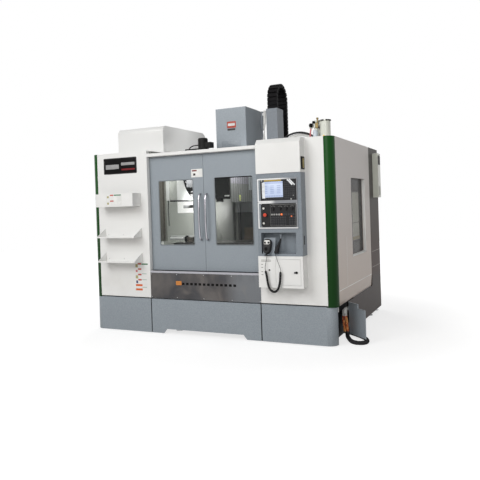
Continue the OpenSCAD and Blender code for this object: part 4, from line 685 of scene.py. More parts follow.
for name, width in BEVELLED.items():
    weld = NODES[name].modifiers.new("weld", "WELD")
    weld.merge_threshold = WELD_GAP
    bevel = NODES[name].modifiers.new("bevel", "BEVEL")
    bevel.width, bevel.segments, bevel.limit_method = width / 1000, 2, "ANGLE"
    bevel.angle_limit, bevel.harden_normals = BEVEL_FROM, True
    bevel.use_clamp_overlap = True
print("bevelled", len(BEVELLED), "nodes")

# %% [markdown]
# ## The pendant's cord
# The handwheel hangs on a curled cord: a thin straight end, a close helix, another straight end.
# It is one line. The helix is a circle carried round the sagging middle line, whose own direction
# sets the circle's plane, and it is wound close, as the real one is when it hangs slack.

# %% Curled cord
LOWER = [[854, -176, 808], [851, -176, 822], [852, -175, 850], [858, -173, 885], [865, -172, 915],
         [869, -171, 940], [870.5, -169, 957]]
COIL = [[1024, -176, 800], [1021, -177, 760], [1017, -177, 715], [1010, -178, 670], [998, -178, 630],
        [978, -178, 600], [948, -178, 586], [916, -178, 596], [893, -178, 624], [880, -178, 665],
        [872, -177, 710], [864, -177, 760], [854, -176, 808]]
UPPER = [[1004, -84, 1148], [1002, -92, 1120], [992, -112, 1080], [978, -135, 1040], [968, -154, 1008],
         [970, -164, 975], [984, -170, 930], [1004, -174, 880], [1020, -176, 840], [1026, -176, 815],
         [1024, -176, 800]]
CORD_R, WIND_R, PITCH = 2.5, 9.9, 5.4
RINGS_PER_TURN, RUN_IN = 20, 1.5  # the coil reaches its full radius after RUN_IN turns


def evenly(line, count):
    """The same line with count points, evenly spaced along it."""
    run = np.concatenate([[0], np.cumsum(np.linalg.norm(np.diff(line, axis=0), axis=1))])
    at = np.linspace(0, run[-1], count)
    return np.stack([np.interp(at, run, line[:, k]) for k in range(3)], 1), run[-1]


def wound(line):
    """A helix round a line: the angle at arc length s is 2 pi s / pitch, the radius 0 at both ends."""
    turns = evenly(line, 10)[1] / PITCH
    middle, _ = evenly(line, int(turns * RINGS_PER_TURN))
    ahead, side, other = directions(middle, np.array([0.0, 1.0, 0.0]))
    share = np.linspace(0, 1, len(middle))
    grown = WIND_R * np.clip(np.minimum(share, 1 - share) * turns / RUN_IN, 0, 1)
    angle = 2 * np.pi * turns * share
    return middle + grown[:, None] * (np.cos(angle)[:, None] * side + np.sin(angle)[:, None] * other)


def ring_tube(line, radius, sides):
    """A tube whose rings are carried on without twist from each point to the next."""
    ahead = unit(np.gradient(line, axis=0))
    side = np.zeros_like(ahead)
    side[0] = unit(np.cross(ahead[0], [0.0, 1.0, 0.0]))
    for k in range(1, len(line)):
        moved = side[k - 1] - ahead[k] * (side[k - 1] @ ahead[k])
        side[k] = moved / np.linalg.norm(moved)
    other = np.cross(side, ahead)
    angle = np.linspace(0, 2 * np.pi, sides, endpoint=False)[None, :, None]
    ring = np.cos(angle) * side[:, None, :] - np.sin(angle) * other[:, None, :]
    return skin(line[:, None, :] + radius * ring, cap_first=True, cap_last=True)


print("one turn of the cord is", round(2 * math.pi * WIND_R), "mm long")

# %% [markdown]
# The three stretches are joined to one line of points, which gives the tube its path.

# %% Hang the cord
pendant_line = np.vstack([evenly(smooth_line(UPPER, 6), 60)[0][:-1], wound(smooth_line(COIL, 8)),
                          evenly(smooth_line(LOWER, 6), 24)[0][1:]])
pendant_cord = piece("pendant_cord", ring_tube(pendant_line, CORD_R, 7), cord_rubber,
                     stands_for=("cord_upper", "cord_coil", "cord_lower"))
place(UPPER[0])
place(pendant_line)

# %% [markdown]
# ## The floor conduit
# A corrugated conduit leaves the fitting beside the access door, lies on the floor and goes back
# under the machine. Its rings are a tube whose radius rises and falls along the line.

# %% Corrugated conduit
CONDUIT = [[1530, 530, 350.4], [1530, 530, 290], [1530, 526, 200], [1531, 516, 120],
           [1536, 494, 62], [1546, 456, 34], [1564, 405, 24.5], [1592, 340, 24],
           [1622, 275, 24], [1662, 212, 24], [1716, 178, 24], [1768, 184, 24], [1800, 222, 24],
           [1806, 272, 24], [1790, 330, 24], [1756, 392, 24], [1706, 455, 24], [1640, 520, 24],
           [1570, 580, 24], [1500, 630, 24]]
CONDUIT_R, RIB, RIB_DEPTH = 23.0, 7.0, 2.6

conduit_line, conduit_run = evenly(smooth_line(CONDUIT, 12), 1600)
phase = 2 * np.pi * np.linspace(0, conduit_run / RIB, len(conduit_line))
ribs = CONDUIT_R - RIB_DEPTH * (0.5 - 0.5 * np.cos(phase)) ** 0.6
floor_conduit = piece("conduit", tube(conduit_line, ribs, 20, aside=(0.5, 0.2, 1)), soft_black,
                      stands_for=("floor_conduit",))
place(CONDUIT[0])
place(conduit_line)
print("conduit", round(conduit_run / 1000, 2), "m")

# %% [markdown]
# ## Plates, keys and rims
# Sheet-metal plates, key caps and rubber seals are all one shape: a rounded rectangle whose
# outline moves in and out while it rises. On the machine they are pressed, moulded or extruded;
# here one function lays the outlines on top of each other.

# %% Rounded outlines that rise
X, Y, Z = np.eye(3)


def rounded(width, height, corner, per=5):
    """Four quarter circles: each corner's middle plus corner * (cos, sin) of the angle."""
    angle = np.radians(np.linspace(0, 90, per)[None, :] + np.array([0, 90, 180, 270])[:, None])
    corner = min(corner, 0.499 * width, 0.499 * height)
    signs = np.array([[1, 1], [-1, 1], [-1, -1], [1, -1]])
    middle = signs * [width / 2 - corner, height / 2 - corner]
    return (middle[:, None, :] + corner * np.stack([np.cos(angle), np.sin(angle)], -1)).reshape(-1, 2)


def risen(width, height, corner, levels, right=X, up=Z, per=5):
    """The outline at each (inset, rise): inset draws it in, rise lifts it towards right x up."""
    loops = [rounded(width - 2 * i, height - 2 * i, max(corner - i, 0.15), per) for i, _ in levels]
    return np.stack([loop[:, :1] * right + loop[:, 1:] * up + rise * np.cross(right, up)
                     for loop, (_, rise) in zip(loops, levels)])


def pads(spots, width, height, corner, levels, right=X, up=Z, per=5):
    """The same closed pad on every spot."""
    table = risen(width, height, corner, levels, right, up, per)
    return joined([skin(table + np.asarray(spot, float), cap_first=True, cap_last=True)
                   for spot in spots])


def rim(spot, width, height, corner, levels, right=X, up=Z, per=5):
    """A seal round an outline: its cross-section is the closed list of (inset, rise)."""
    table = risen(width, height, corner, levels, right, up, per) + np.asarray(spot, float)
    return skin(table, wrap_rows=True)


def between(x, z, y):
    """Middle, width and height of a front-facing rectangle."""
    return [(x[0] + x[1]) / 2, y, (z[0] + z[1]) / 2], x[1] - x[0], z[1] - z[0]


def sheet(x, z, y, corner, levels, per=5):
    """A pad that fills a front-facing rectangle."""
    spot, width, height = between(x, z, y)
    return pads([spot], width, height, corner, levels, per=per)


print("a pad of two levels has", len(sheet((0, 9), (0, 9), 0, 1, [(0, 0), (0, 1)])[1]), "faces")

# %% [markdown]
# The door panes sit in a black rubber seal. Its lip laps over the steel and over the pane. Both
# seals are painted grey: painted light on the black rubber. Along the right seal's top a painted
# shadow stays dark.

# %% Window seals
SEAL = [(-7, 0.1), (-6.5, 2.4), (-4, 3.2), (2, 2.6), (5, 0.5), (5, -2.9), (0.2, -2.9), (0.2, 0.1)]
WINDOWS, WINDOW_Z, PANE_Y = {"left": (-607, -134), "right": (152, 625)}, (1058, 1826), 62

seal_painted_light_and_shade = Finish("seal_painted_light_and_shade", Roughness=0.6, Specular_IOR_Level=0.2)
painted_top_shadow = seal_painted_light_and_shade.part("Z").above(1.819, 0.002) * seal_painted_light_and_shade.part("X").above(0.0, 0.01)
seal_painted_light_and_shade.set(Base_Color=painted_top_shadow.mix((0.20, 0.22, 0.235), (0.008, 0.008, 0.008)))
seal_painted_light_and_shade.bump(seal_painted_light_and_shade.noise(500, 2), 0.0001, 0.4)

for side, x in WINDOWS.items():
    seal = rim(*between(x, WINDOW_Z, PANE_Y), 16, SEAL, per=7)
    piece(f"window_seal_{side}", seal, seal_painted_light_and_shade.material, f"{side}_door")
print("window", WINDOWS["right"][1] - WINDOWS["right"][0], "x", WINDOW_Z[1] - WINDOW_Z[0], "mm")

# %% [markdown]
# High on the left panel sits a black plate with a raised line round it and three bars on it. Each
# is a pad of its own, because a bar that is really proud catches the light along its upper edge.

# %% Plate on the left panel
FACE_Y, PLATE_FACE = -0.1, -2.65  # just proud of the panel; the plate's own face
PLATE_X, PLATE_Z = (-1372, -875), (1940, 2138)
dull_silver = moulded("dull_silver", (0.30, 0.30, 0.30), 0.4, 300)
deep_red = moulded("deep_red", (0.16, 0.012, 0.015), 0.4, 300)

spot, width, height = between(PLATE_X, PLATE_Z, FACE_Y)
piece("name_plate", sheet(PLATE_X, PLATE_Z, FACE_Y, 14, [(0, 0), (0, 2.0), (1, 2.6)]), plate_black)
piece("name_plate_line", rim([spot[0], PLATE_FACE, spot[2]], width - 16, height - 16, 9,
                             [(0, 0), (0, 0.5), (3, 0.5), (3, 0)]), plate_dark)
for name, x, z, high in (("name_bar_tall", -1240, 2030, 56), ("name_bar", -1005, 2060, 34)):
    piece(name, pads([[x, PLATE_FACE, z]], 200, high, 6, [(0, 0), (0, 0.9), (1.5, 1.6)]), dull_silver)
piece("name_bar_red", pads([[-1002, PLATE_FACE, 1992]], 200, 20, 3, [(0, 0), (0, 0.6)]), deep_red)
print("plate", width, "x", height, "mm")

# %% [markdown]
# ## The control
# A grey bezel frames the control unit and the operator panel; its white parts are a painted highlight
# where its edges catch the light. The screen shows plain fields and bars; its light comes from the
# material. The key caps in front of the CAD keys are moulded, with softened edges, so that each one
# catches the light by itself.

# %% Bezel
CONTROL_X = (777, 1226)
bezel_with_painted_highlight = Finish("bezel_with_painted_highlight", Roughness=0.4, Coat_Weight=0.1)
bezel_side, bezel_up = bezel_with_painted_highlight.part("X"), bezel_with_painted_highlight.part("Z")
# Where these masks are 1 the bezel is white: a painted highlight on the grey frame's edges.
bare = 1 - bezel_side.above(0.672, 0.006)
upper = (1 - bezel_side.above(0.90, 0.16)) * bezel_up.above(1.757, 0.008)
middle = ((1 - bezel_side.above(0.80, 0.07)) * (1 - bezel_up.above(1.540, 0.008))
          * bezel_up.above(1.50, 0.01))
lower = (1 - bezel_up.above(1.259, 0.006)) * 0.8
edges = bare.sum("MAXIMUM", upper.sum("MAXIMUM", upper, middle), bare.sum("MAXIMUM", bare, lower))
bezel_with_painted_highlight.set(Base_Color=edges.mix((0.235, 0.245, 0.265), (0.80, 0.80, 0.80)))
bezel_with_painted_highlight.bump(bezel_with_painted_highlight.noise(500, 2), 0.0001, 0.4)
for name, z in (("bezel_top", (1532, 1780)), ("bezel_low", (1250, 1530))):
    frame_edge = [(0, 0), (0, 1.4), (1.2, 2.4), (14, 2.4), (14, 0)]
    piece(name, rim(*between(CONTROL_X, z, -145.9), 7, frame_edge), bezel_with_painted_highlight.material)
print("bezels", CONTROL_X[1] - CONTROL_X[0], "mm wide")

# %% [markdown]
# The screen glows. Its picture is worked out from the place on the glass: two numbers run from 0
# to 1 across and up, and bands of them make rows, fields and a bar of soft keys.

# %% Screen
SCREEN_X, SCREEN_Z = (847, 1068), (1579, 1746)
screen_glass = Finish("screen_glass", Roughness=0.35, Coat_Weight=0.1, Coat_Roughness=0.2)
screen_left = float(place([SCREEN_X[0], 0, 0])[0])
across = (screen_glass.part("X") - screen_left) / ((SCREEN_X[1] - SCREEN_X[0]) / 1000)
rise = (screen_glass.part("Z") - SCREEN_Z[0] / 1000) / ((SCREEN_Z[1] - SCREEN_Z[0]) / 1000)


def band(wire, low, high):
    """1 between low and high, 0 outside, with soft edges."""
    return wire.above(low, 0.004) * (1 - wire.above(high, 0.004))


def share(wire, count):
    """The wire counted in count equal steps, its rest from 0 to 1 in each."""
    return (wire * float(count)).sum("FRACT", wire * float(count), 0.0)


rows = band(share(rise, 9), 0.25, 0.7) * band(rise, 0.22, 0.78)
fields = band(share(across, 3), 0.08, 0.62) * rows
frame_bar = band(rise, 0.86, 0.97) + band(rise, 0.04, 0.12) * band(share(across, 8), 0.06, 0.92)
ink = fields * 0.55 + frame_bar * 0.5
picture = ink.mix((0.60, 0.70, 0.92), (0.16, 0.24, 0.52))
screen_glass.set(Base_Color=(0.02, 0.02, 0.03), Emission_Color=picture, Emission_Strength=0.85)
spot, width, height = between(SCREEN_X, SCREEN_Z, -146.2)
piece("screen", pads([spot], width - 1, height - 1, 2, [(0, 0), (0, 0.6), (0.5, 0.9)]),
      screen_glass.material)
print("screen", round(width), "x", round(height))

# %% [markdown]
# The unit has eight rows of keys beside its screen and a row of soft keys below it; the operator
# panel has two blocks of keys, a row of pale and dark ones, and one that is lit. A cap stands about
# 2 mm proud and its top is drawn in, so that light runs along each edge.

# %% Key caps
CAP = [(0, 0), (0.2, 1.2), (1.4, 2.2), (2.6, 2.3)]
UNIT_KEY_Y, PANEL_KEY_Y = -151, -149
UNIT_X, UNIT_Z, PANEL_X, PANEL_Z = 813, 1545, 811, 1265  # lower left corners of the two fronts
unit_keys = [[UNIT_X + 279.5 + i * 20, UNIT_KEY_Y, UNIT_Z + 26 + j * 23]
             for i in range(6) for j in range(8)]
soft_keys = [[SCREEN_X[0] + 11 + i * 22, UNIT_KEY_Y, UNIT_Z + 16.5] for i in range(10)]
panel_keys = [[PANEL_X + x + i * 25, PANEL_KEY_Y, PANEL_Z + 28.5 + j * 24]
              for x, n in ((125, 7), (327, 3)) for i in range(n) for j in range(4)]
row_keys = [[PANEL_X + 126 + i * 27, PANEL_KEY_Y, PANEL_Z + 133] for i in range(10)]
lit_key = row_keys.pop(4)
KEY_SETS = {"unit_keys": (unit_keys, 15, 16, 2.5, key_grey),
            "soft_keys": (soft_keys, 14, 11, 2, key_grey),
            "panel_keys": (panel_keys, 18, 17, 2.5, key_grey),
            "pale_keys": (row_keys[:4], 20, 18, 2.5, key_pale),
            "dark_keys": (row_keys[4:], 20, 18, 2.5, key_grey)}
for name, (spots, width, height, corner, material) in KEY_SETS.items():
    piece(name, pads(spots, width, height, corner, CAP, per=3), material)
print({name: len(row[0]) for name, row in KEY_SETS.items()})

# %% [markdown]
# Round the keys the panel has a pale line, ticks beside the selectors and three white caps. One key
# and one spot are lit: they glow by themselves, a little unevenly, as a lamp under a cap does.

# %% Lines, ticks and lit keys
LINE_Y = -147.05
piece("panel_line", rim(*between((918, 1203), (1276, 1504), LINE_Y), 3,
                        [(0, 0), (0, 0.5), (2.4, 0.5), (2.4, 0)]), key_pale)
piece("panel_split", pads([[920, LINE_Y, 1390]], 2.4, 226, 1, [(0, 0), (0, 0.5)]), key_pale)
ticks = [pads([[x + d, LINE_Y, 1487 - abs(d) * 0.35]], 9, 3.2, 1, [(0, 0), (0, 0.4)])
         for x in (951, 1031, 1098, 1164) for d in (-15, 0, 15)]
piece("knob_ticks", joined(ticks), key_pale)
caps = [[1187, -149.05, 1594], [1157, -149.05, 1556], [829, -149.05, 1757]]
piece("white_caps", pads(caps, 13, 13, 6.5, CAP, per=4), key_white)
lamp_orange = Finish("lamp_orange", Base_Color=(0.8, 0.14, 0.03), Roughness=0.35, Emission_Strength=0.8)
lamp_orange.set(Emission_Color=lamp_orange.noise(60, 2).mix((0.85, 0.13, 0.03), (1.0, 0.30, 0.10)))
piece("lit_key", pads([lit_key], 20, 18, 2.5, CAP, per=4), lamp_orange.material)
piece("lit_spot", pads([[1156, UNIT_KEY_Y, 1377]], 13, 11, 2, CAP, per=4), lamp_orange.material)
print("ticks:", len(ticks), "caps:", len(caps))

# %% [markdown]
# A strip of protective film still sticks to the unit's frame, and a yellow strip of tape sits above
# the screen. Both are thin, and the film lets some of the black frame through.

# %% Film and tape
film = Finish("film", Roughness=0.25, Coat_Weight=0.3)
film.set(Base_Color=film.noise(40, 3).mix((0.72, 0.74, 0.76), (0.86, 0.88, 0.90)),
         Alpha=film.noise(25, 4).above(0.3, 0.4) * 0.12 + 0.88)
tape = moulded("tape", (0.42, 0.30, 0.07), 0.4, 300)
piece("tape", pads([[955, -149.05, 1757]], 193, 14, 1.5, [(0, 0), (0, 0.25)]), tape)
slant = unit(np.array([0.70, 0, -0.71]))
across_slant = np.cross([0, -1, 0], slant)
thin = [(0, 0), (0, 0.3)]
strips = [pads([[x, -153.6, 1733]], long, wide, 2, thin, right=slant, up=across_slant)
          for x, long, wide in ((1148, 80, 17), (1172, 88, 13))]
piece("film_strips", joined(strips + [pads([[849, -149.5, 1655]], 34, 168, 2, thin)]), film.material)
print("film strips:", len(strips) + 1)

# %% [markdown]
# ## Small plates and bars
# Thin plain plates and bars sit on the door's edge, the left panel, the document tray and the kick
# panel. Each is 0.35 mm thick, so it has an edge of its own. One table holds them all.

# %% Plain plates
STICKER = [(0, 0), (0, 0.35)]
plate_white = moulded("plate_white", (0.72, 0.72, 0.70), 0.4, 400)
plate_green = moulded("plate_green", (0.02, 0.15, 0.06), 0.4, 400)
plate_orange = moulded("plate_orange", (0.60, 0.13, 0.04), 0.4, 400)
plate_amber = moulded("plate_amber", (0.52, 0.20, 0.05), 0.4, 400)
plate_red = moulded("plate_red", (0.46, 0.085, 0.06), 0.4, 400)
plate_sage = moulded("plate_sage", (0.36, 0.46, 0.40), 0.4, 400)
plate_ink = moulded("plate_ink", (0.06, 0.06, 0.13), 0.4, 400)
plate_olive = moulded("plate_olive", (0.36, 0.33, 0.16), 0.4, 400)

DOOR_Y, ON_DOOR_PLATE, TRAY_Y, ON_TRAY_PLATE, KICK_Y = 61.9, 61.5, -168.1, -168.5, 1.9
STICKERS = {  # name: depth, (x, z) of each, width, height, paint
    "door_plate": (DOOR_Y, [(-77, 1897)], 150, 96, plate_white),
    "door_plate_bar": (ON_DOOR_PLATE, [(-108, 1926)], 62, 16, deep_red),
    "door_plate_mark": (ON_DOOR_PLATE, [(-110, 1882)], 30, 26, plate_dark),
    "panel_bar_green": (FACE_Y, [(-808, 830)], 92, 15, plate_green),
    "panel_bars_pale": (FACE_Y, [(-818, z) for z in (712, 640, 548)], 66, 9, plate_sage),
    "panel_bars_red": (FACE_Y, [(-884, z) for z in (832, 768, 702, 638)], 50, 19, plate_red),
    "panel_bars_orange": (FACE_Y, [(-898, z) for z in (572, 520)], 98, 24, plate_orange),
    "panel_marks_olive": (FACE_Y, [(-927, z) for z in (808, 672)], 34, 38, plate_olive),
    "panel_marks_pink": (FACE_Y, [(-928, 744)], 28, 26, hose_pink),
    "panel_marks_dark": (FACE_Y, [(-926, 612)], 26, 34, plate_ink),
    "tray_plate": (TRAY_Y, [(-1106, 1622)], 232, 140, plate_white),
    "tray_bar_green": (ON_TRAY_PLATE, [(-1050, 1676)], 104, 13, plate_green),
    "tray_bars_red": (ON_TRAY_PLATE, [(-1136, 1676), (-1136, 1606)], 52, 15, plate_red),
    "tray_marks": (ON_TRAY_PLATE, [(-1193, 1654), (-1193, 1577)], 26, 24, plate_olive),
    "kick_plate": (KICK_Y, [(-335, 614)], 76, 48, plate_amber),
    "kick_plate_foot": (KICK_Y, [(-335, 582)], 60, 12, plate_dark),
    "kick_marks": (KICK_Y, [(-274 + 56 * i, 607) for i in range(13)], 34, 27, plate_black),
}
for name, (depth, spots, width, height, paint) in STICKERS.items():
    shape = pads([[x, depth, z] for x, z in spots], width, height, 2, STICKER)
    piece(name, shape, paint, "left_door" if name.startswith("door") else "machine_frame")
print("plain plates:", len(STICKERS))

# %% [markdown]
# The head's cover carries a red plate with a white bar, a dark foot below it and a shallow hatch.
# They ride on the head. Below the doors a lilac-grey rail face runs along the sill.

# %% Plates on the head's cover and the rail
COVER_Y = 849.9
PROUD = [(0, 0), (0, 1.4), (1, 2.0)]
piece("cover_plate", pads([[9, COVER_Y, 2541]], 128, 84, 12, PROUD), plate_red, "head")
piece("cover_plate_bar", pads([[9, 847.95, 2543]], 100, 34, 6, STICKER), plate_white, "head")
piece("cover_plate_foot", pads([[6, COVER_Y, 2480]], 112, 24, 4, [(0, 0), (0, 1.0)]), plate_dark,
      "head")
piece("cover_hatch", pads([[0, COVER_Y, 2294]], 280, 92, 5, [(0, 0), (0, 1.6), (1.2, 2.2)]),
      door_grey, "head")
rail_paint = powder_coat("rail_paint", (0.43, 0.43, 0.47), (0.34, 0.34, 0.37), 0.4)
RAIL_Z = (728.6, 755)
rail_spot = between((-727, 716), RAIL_Z, FACE_Y)[0]
piece("rail_face", pads([rail_spot], 1443, 25, 2, [(0, 0), (0, 1.0), (0.8, 1.8)]), rail_paint)
print("plates on the cover: 3, and its hatch")

# %% [markdown]
# ## Behind the panes
# Folded corner strips with their screws stand behind the left window: one beige, one dark, one
# between the two. Each is a plate with a folded edge.

# %% Corner strips
beige_paint = powder_coat("beige_paint", (0.175, 0.165, 0.135), (0.12, 0.11, 0.09), 0.5)
dark_strip = powder_coat("dark_strip", (0.080, 0.068, 0.052), (0.06, 0.05, 0.04), 0.5)
mid_strip = powder_coat("mid_strip", (0.215, 0.220, 0.190), (0.16, 0.16, 0.14), 0.5)
FOLD = [(0, 0), (0, 3.2), (1.5, 4.5)]
STRIPS = {"strip_outer": ((-1010, -805), beige_paint), "strip_dark": ((-803, -776), dark_strip),
          "strip_mid": ((-774, -748), mid_strip)}
for name, (x, paint) in STRIPS.items():
    piece(name, sheet(x, (1076, 2105), 438, 2, FOLD), paint)
screw_spots = [[-790, 433.4, z] for z in (1120, 1440, 1748)]
piece("strip_screws", pads(screw_spots, 12, 12, 6, [(0, 0), (0.4, 1.6), (2, 2.6)], per=4),
      black_plastic)
print("strips:", len(STRIPS))

# %% [markdown]
# On the rear wall a white guard and a dull beige strip are screwed flat; the strip's right edge is
# folded back. Under the magazine's guard hangs a rubber lip, and a thin drain hose hangs from it.

# %% Rear wall, lip and drain hose
REAR_Y = 1341.8
guard_beige = powder_coat("guard_beige", (0.165, 0.172, 0.155), (0.13, 0.137, 0.12), 0.5)
# bead_white is a brighter white: the rear guard's own paint, and on the side panel's folds and window
# reveal a painted highlight.
bead_white = powder_coat("bead_white", (0.88, 0.88, 0.86), (0.82, 0.82, 0.80), 0.35)
FLAT = [(0, 0), (0, 1.5), (1, 2.2)]
piece("rear_guard", sheet((-1142, -760), (1417, 1592), REAR_Y, 4, FLAT), bead_white)
piece("rear_strip", sheet((-700, -253), (700, 1660), REAR_Y, 4, FLAT), guard_beige)
piece("strip_return", pads([[-253, 1377, 1180]], 69, 960, 2, [(0, 0), (0, 1.2), (0.6, 1.6)], right=Y),
      guard_beige)
piece("guard_lip", pads([[-699.8, 892, 1586]], 890, 19, 3, [(0, 0), (0, 2.6), (1, 3.4)], right=Y),
      soft_black)
drain = np.array([[-740, 470, z] for z in np.linspace(1594, 1270, 12)], float)
piece("drain_hose", tube(drain, 5.5, 10, aside=(0, 1, 0)), soft_black)
print("drain hose", drain[0, 2] - drain[-1, 2], "mm long")

# %% [markdown]
# Round parts are turned on a lathe. A profile of distances and radii is swept once round a line,
# which gives pipes, flanges, nozzles, knobs and caps alike.

# %% Turned parts and the wash pipe
ring = np.linspace(0, 2 * np.pi, 28, endpoint=False)


def turned(profile, start, along, side=X, up=Y):
    """A profile of (distance, radius) turned: start + distance * along + radius * (cos, sin)."""
    start, along, side, up = (np.asarray(v, float) for v in (start, along, side, up))
    distance, radius = (np.asarray(profile, float)[:, k, None, None] for k in (0, 1))
    out = radius * (np.cos(ring)[:, None] * side + np.sin(ring)[:, None] * up)
    return skin(start + distance * along + out, cap_first=True, cap_last=True)


FLANGE = [(0, 30), (3, 38), (9, 39), (12, 43), (26, 43), (30, 37), (40, 35)]
BLOCK = [(0, 0), (0, 50), (3, 55), (14, 55), (17, 50)]
piece("wash_pipe", turned([(0, 17), (196, 17), (198, 6), (226, 6)], (-741, 500, 1106), X, Y, Z),
      shade_white)
piece("wash_rail", sheet((-741, -393), (1127, 1140), 520, 2, [(0, 0), (0, 14), (2, 16)]), shade_white)
piece("wash_flange", turned(FLANGE, (-516, 500, 1101), X, Y, Z), plate_black)
piece("wash_block", sheet((-476, -392), (1064, 1122), 520, 5, BLOCK), dark_strip)
print("a turned part has", len(ring), "sides")

# %% [markdown]
# The ribbed curtain on the head's right side is a sheet whose distance from the head rises and
# falls along its length: a round-topped rib, then a narrow groove. The grooves are darkened too:
# a painted shade.

# %% Curtain on the head
CURTAIN_RIBS, CURTAIN_X, CURTAIN_Z = 10, 217.5, (1544.0, 2160.0)
FIRST_GROOVE, HALF_RIB = 0.666, 0.0332  # metres, in the model's own frame
curtain_coat = Finish("curtain_coat", Roughness=0.5, Specular_IOR_Level=0.2)
depth, height = curtain_coat.part("Y"), curtain_coat.part("Z")
folded = (depth + FIRST_GROOVE).sum("PINGPONG", depth + FIRST_GROOVE, HALF_RIB)
# The darker grooves are painted shade.
groove = 1 - folded.above(0.003, 0.016)
high = height.above(1.765, 0.01).mix((0.235, 0.245, 0.235), (0.33, 0.325, 0.365))
cloth = (groove * 0.75).mix(high, (0.12, 0.13, 0.12))
far = depth.above(-0.158, 0.004) * height.above(1.69, 0.01)
curtain_coat.set(Base_Color=far.mix(cloth, (0.46, 0.50, 0.52)))
curtain_coat.bump(curtain_coat.noise(60, 2), 0.0004, 0.4)

run = np.linspace(0, 1, 201)
rise_out = CURTAIN_X + 6.0 * np.abs(np.sin(np.pi * run * CURTAIN_RIBS)) ** 0.5
front_face = np.stack([rise_out, 345 + 665 * run], 1)
outline = np.vstack([front_face, [[215.6, 1010], [215.6, 345]]])
curtain = np.stack([np.column_stack([outline, np.full(len(outline), z)]) for z in CURTAIN_Z])
piece("head_curtain", skin(curtain, cap_first=True, cap_last=True), curtain_coat.material, "head")
print("curtain ribs:", CURTAIN_RIBS)

# %% [markdown]
# Below the head sit a small white block, a dark sill, three coolant nozzles that lean towards the
# spindle, and a pale fitting in front of the curtain.

# %% Nozzles and fittings on the head
pale_lime = moulded("pale_lime", (0.52, 0.58, 0.22), 0.4, 400)
NOZZLE = [(0, 9), (16, 9), (18, 6), (34, 6), (40, 3.2), (52, 3)]
FITTING = [(0, 9), (10, 11), (22, 11), (24, 7), (60, 7), (64, 9), (70, 6)]
piece("head_block", pads([[184, 311.6, 1624]], 58, 16, 2, [(0, 0), (0, 10), (1, 11)]), shade_white,
      "head")
piece("head_sill", pads([[158, 340, 1594]], 112, 19, 3, [(0, 0), (0, 6), (2, 8)]), plate_black, "head")
for k, x in enumerate((-62, 0, 62)):
    nozzle = turned(NOZZLE, (x, 380, 1603.5), (0, 0.25, -0.97))
    piece(f"coolant_nozzle_{k}", nozzle, black_plastic, "head")
piece("head_fitting", turned(FITTING, (232, 567, 1630), -Z), pale_lime, "head")
print("nozzles: 3")

# %% [markdown]
# Behind the side window stands a tall beige duct with a dark frame, a joint across and a tan foot.
# The window's own reveal is bright where the light falls on it, so its rear and lower faces get a
# thin white plate, brighter than the side's paint: a painted highlight. The lower face slopes
# outwards, so its plate is laid along that slope.

# %% Duct behind the side window
DUCT_Y, DUCT_FACE = 1138, 1510.2
THIN = [(0, 0), (0, 0.5), (0.6, 0.9)]
duct_beige = powder_coat("duct_beige", (0.56, 0.56, 0.44), (0.50, 0.50, 0.38), 0.5)
DUCT_RIM = [(0, 0), (0, 26), (8, 26), (8, 0)]
piece("duct", pads([[1486, DUCT_Y, 1345]], 322, 540, 6, [(0, 0), (0, 22), (2, 24)], right=Y),
      duct_beige)
piece("duct_frame", rim([1486, DUCT_Y, 1333], 344, 588, 10, DUCT_RIM, right=Y), dark_strip)
piece("duct_joint", pads([[DUCT_FACE, DUCT_Y, 1250]], 326, 7, 2, STICKER, right=Y), dark_strip)
piece("duct_foot", pads([[DUCT_FACE, DUCT_Y, 1064]], 318, 40, 4, [(0, 0), (0, 2)], right=Y),
      filter_tan)
SILL_DEPTH, SILL_RISE = 38.0, 20.0
sill_up = unit(np.array([-SILL_DEPTH, 0, SILL_RISE]))
piece("reveal_rear", pads([[1551, 1401.6, 1327]], 34, 896, 1, THIN), bead_white)
piece("reveal_low", pads([[1551.6, 1057, 882.8]], 676, 38, 1, THIN, right=Y, up=sill_up), bead_white)
print("sill slopes", round(math.degrees(math.atan2(SILL_RISE, SILL_DEPTH))), "degrees")

# %% [markdown]
# ## The pendant
# The CAD pendant is a plain block. The real one has a round head and a narrower foot: a rounded
# outline whose width shrinks towards its lower end, drawn in at its front edge. It leans back in
# its holder, so its own three directions are turned first and every part of it is laid along them.

# %% Pendant
LEAN = math.radians(13)
LEAN_UP = np.array([0, math.sin(LEAN), math.cos(LEAN)])
LEAN_OUT = np.cross(X, LEAN_UP)
PENDANT = np.array([871.0, -143.0, 980.0])  # middle of its lower end
CASE = [(2, 0.6), (0, 3), (0, 20), (1, 20.5), (1, 22), (0, 22.5), (0, 35), (1.5, 39), (5, 41.8),
        (7, 42)]


def on_pendant(up, out):
    """A place on the pendant: so far up from its foot and out from its back."""
    return PENDANT + up * LEAN_UP + out * LEAN_OUT


def tapered(width, height, corner, levels, foot):
    """Rounded outlines whose width at the lower end is foot times the width at the top."""
    loops = []
    for inset, rise in levels:
        loop = rounded(width - 2 * inset, height - 2 * inset, corner - inset, 8)
        across = loop[:, :1] * (foot + (1 - foot) * (loop[:, 1:] / height + 0.5))
        loops.append(across * X + (loop[:, 1:] + height / 2) * LEAN_UP + rise * LEAN_OUT)
    return skin(np.stack(loops) + PENDANT, cap_first=True, cap_last=True)


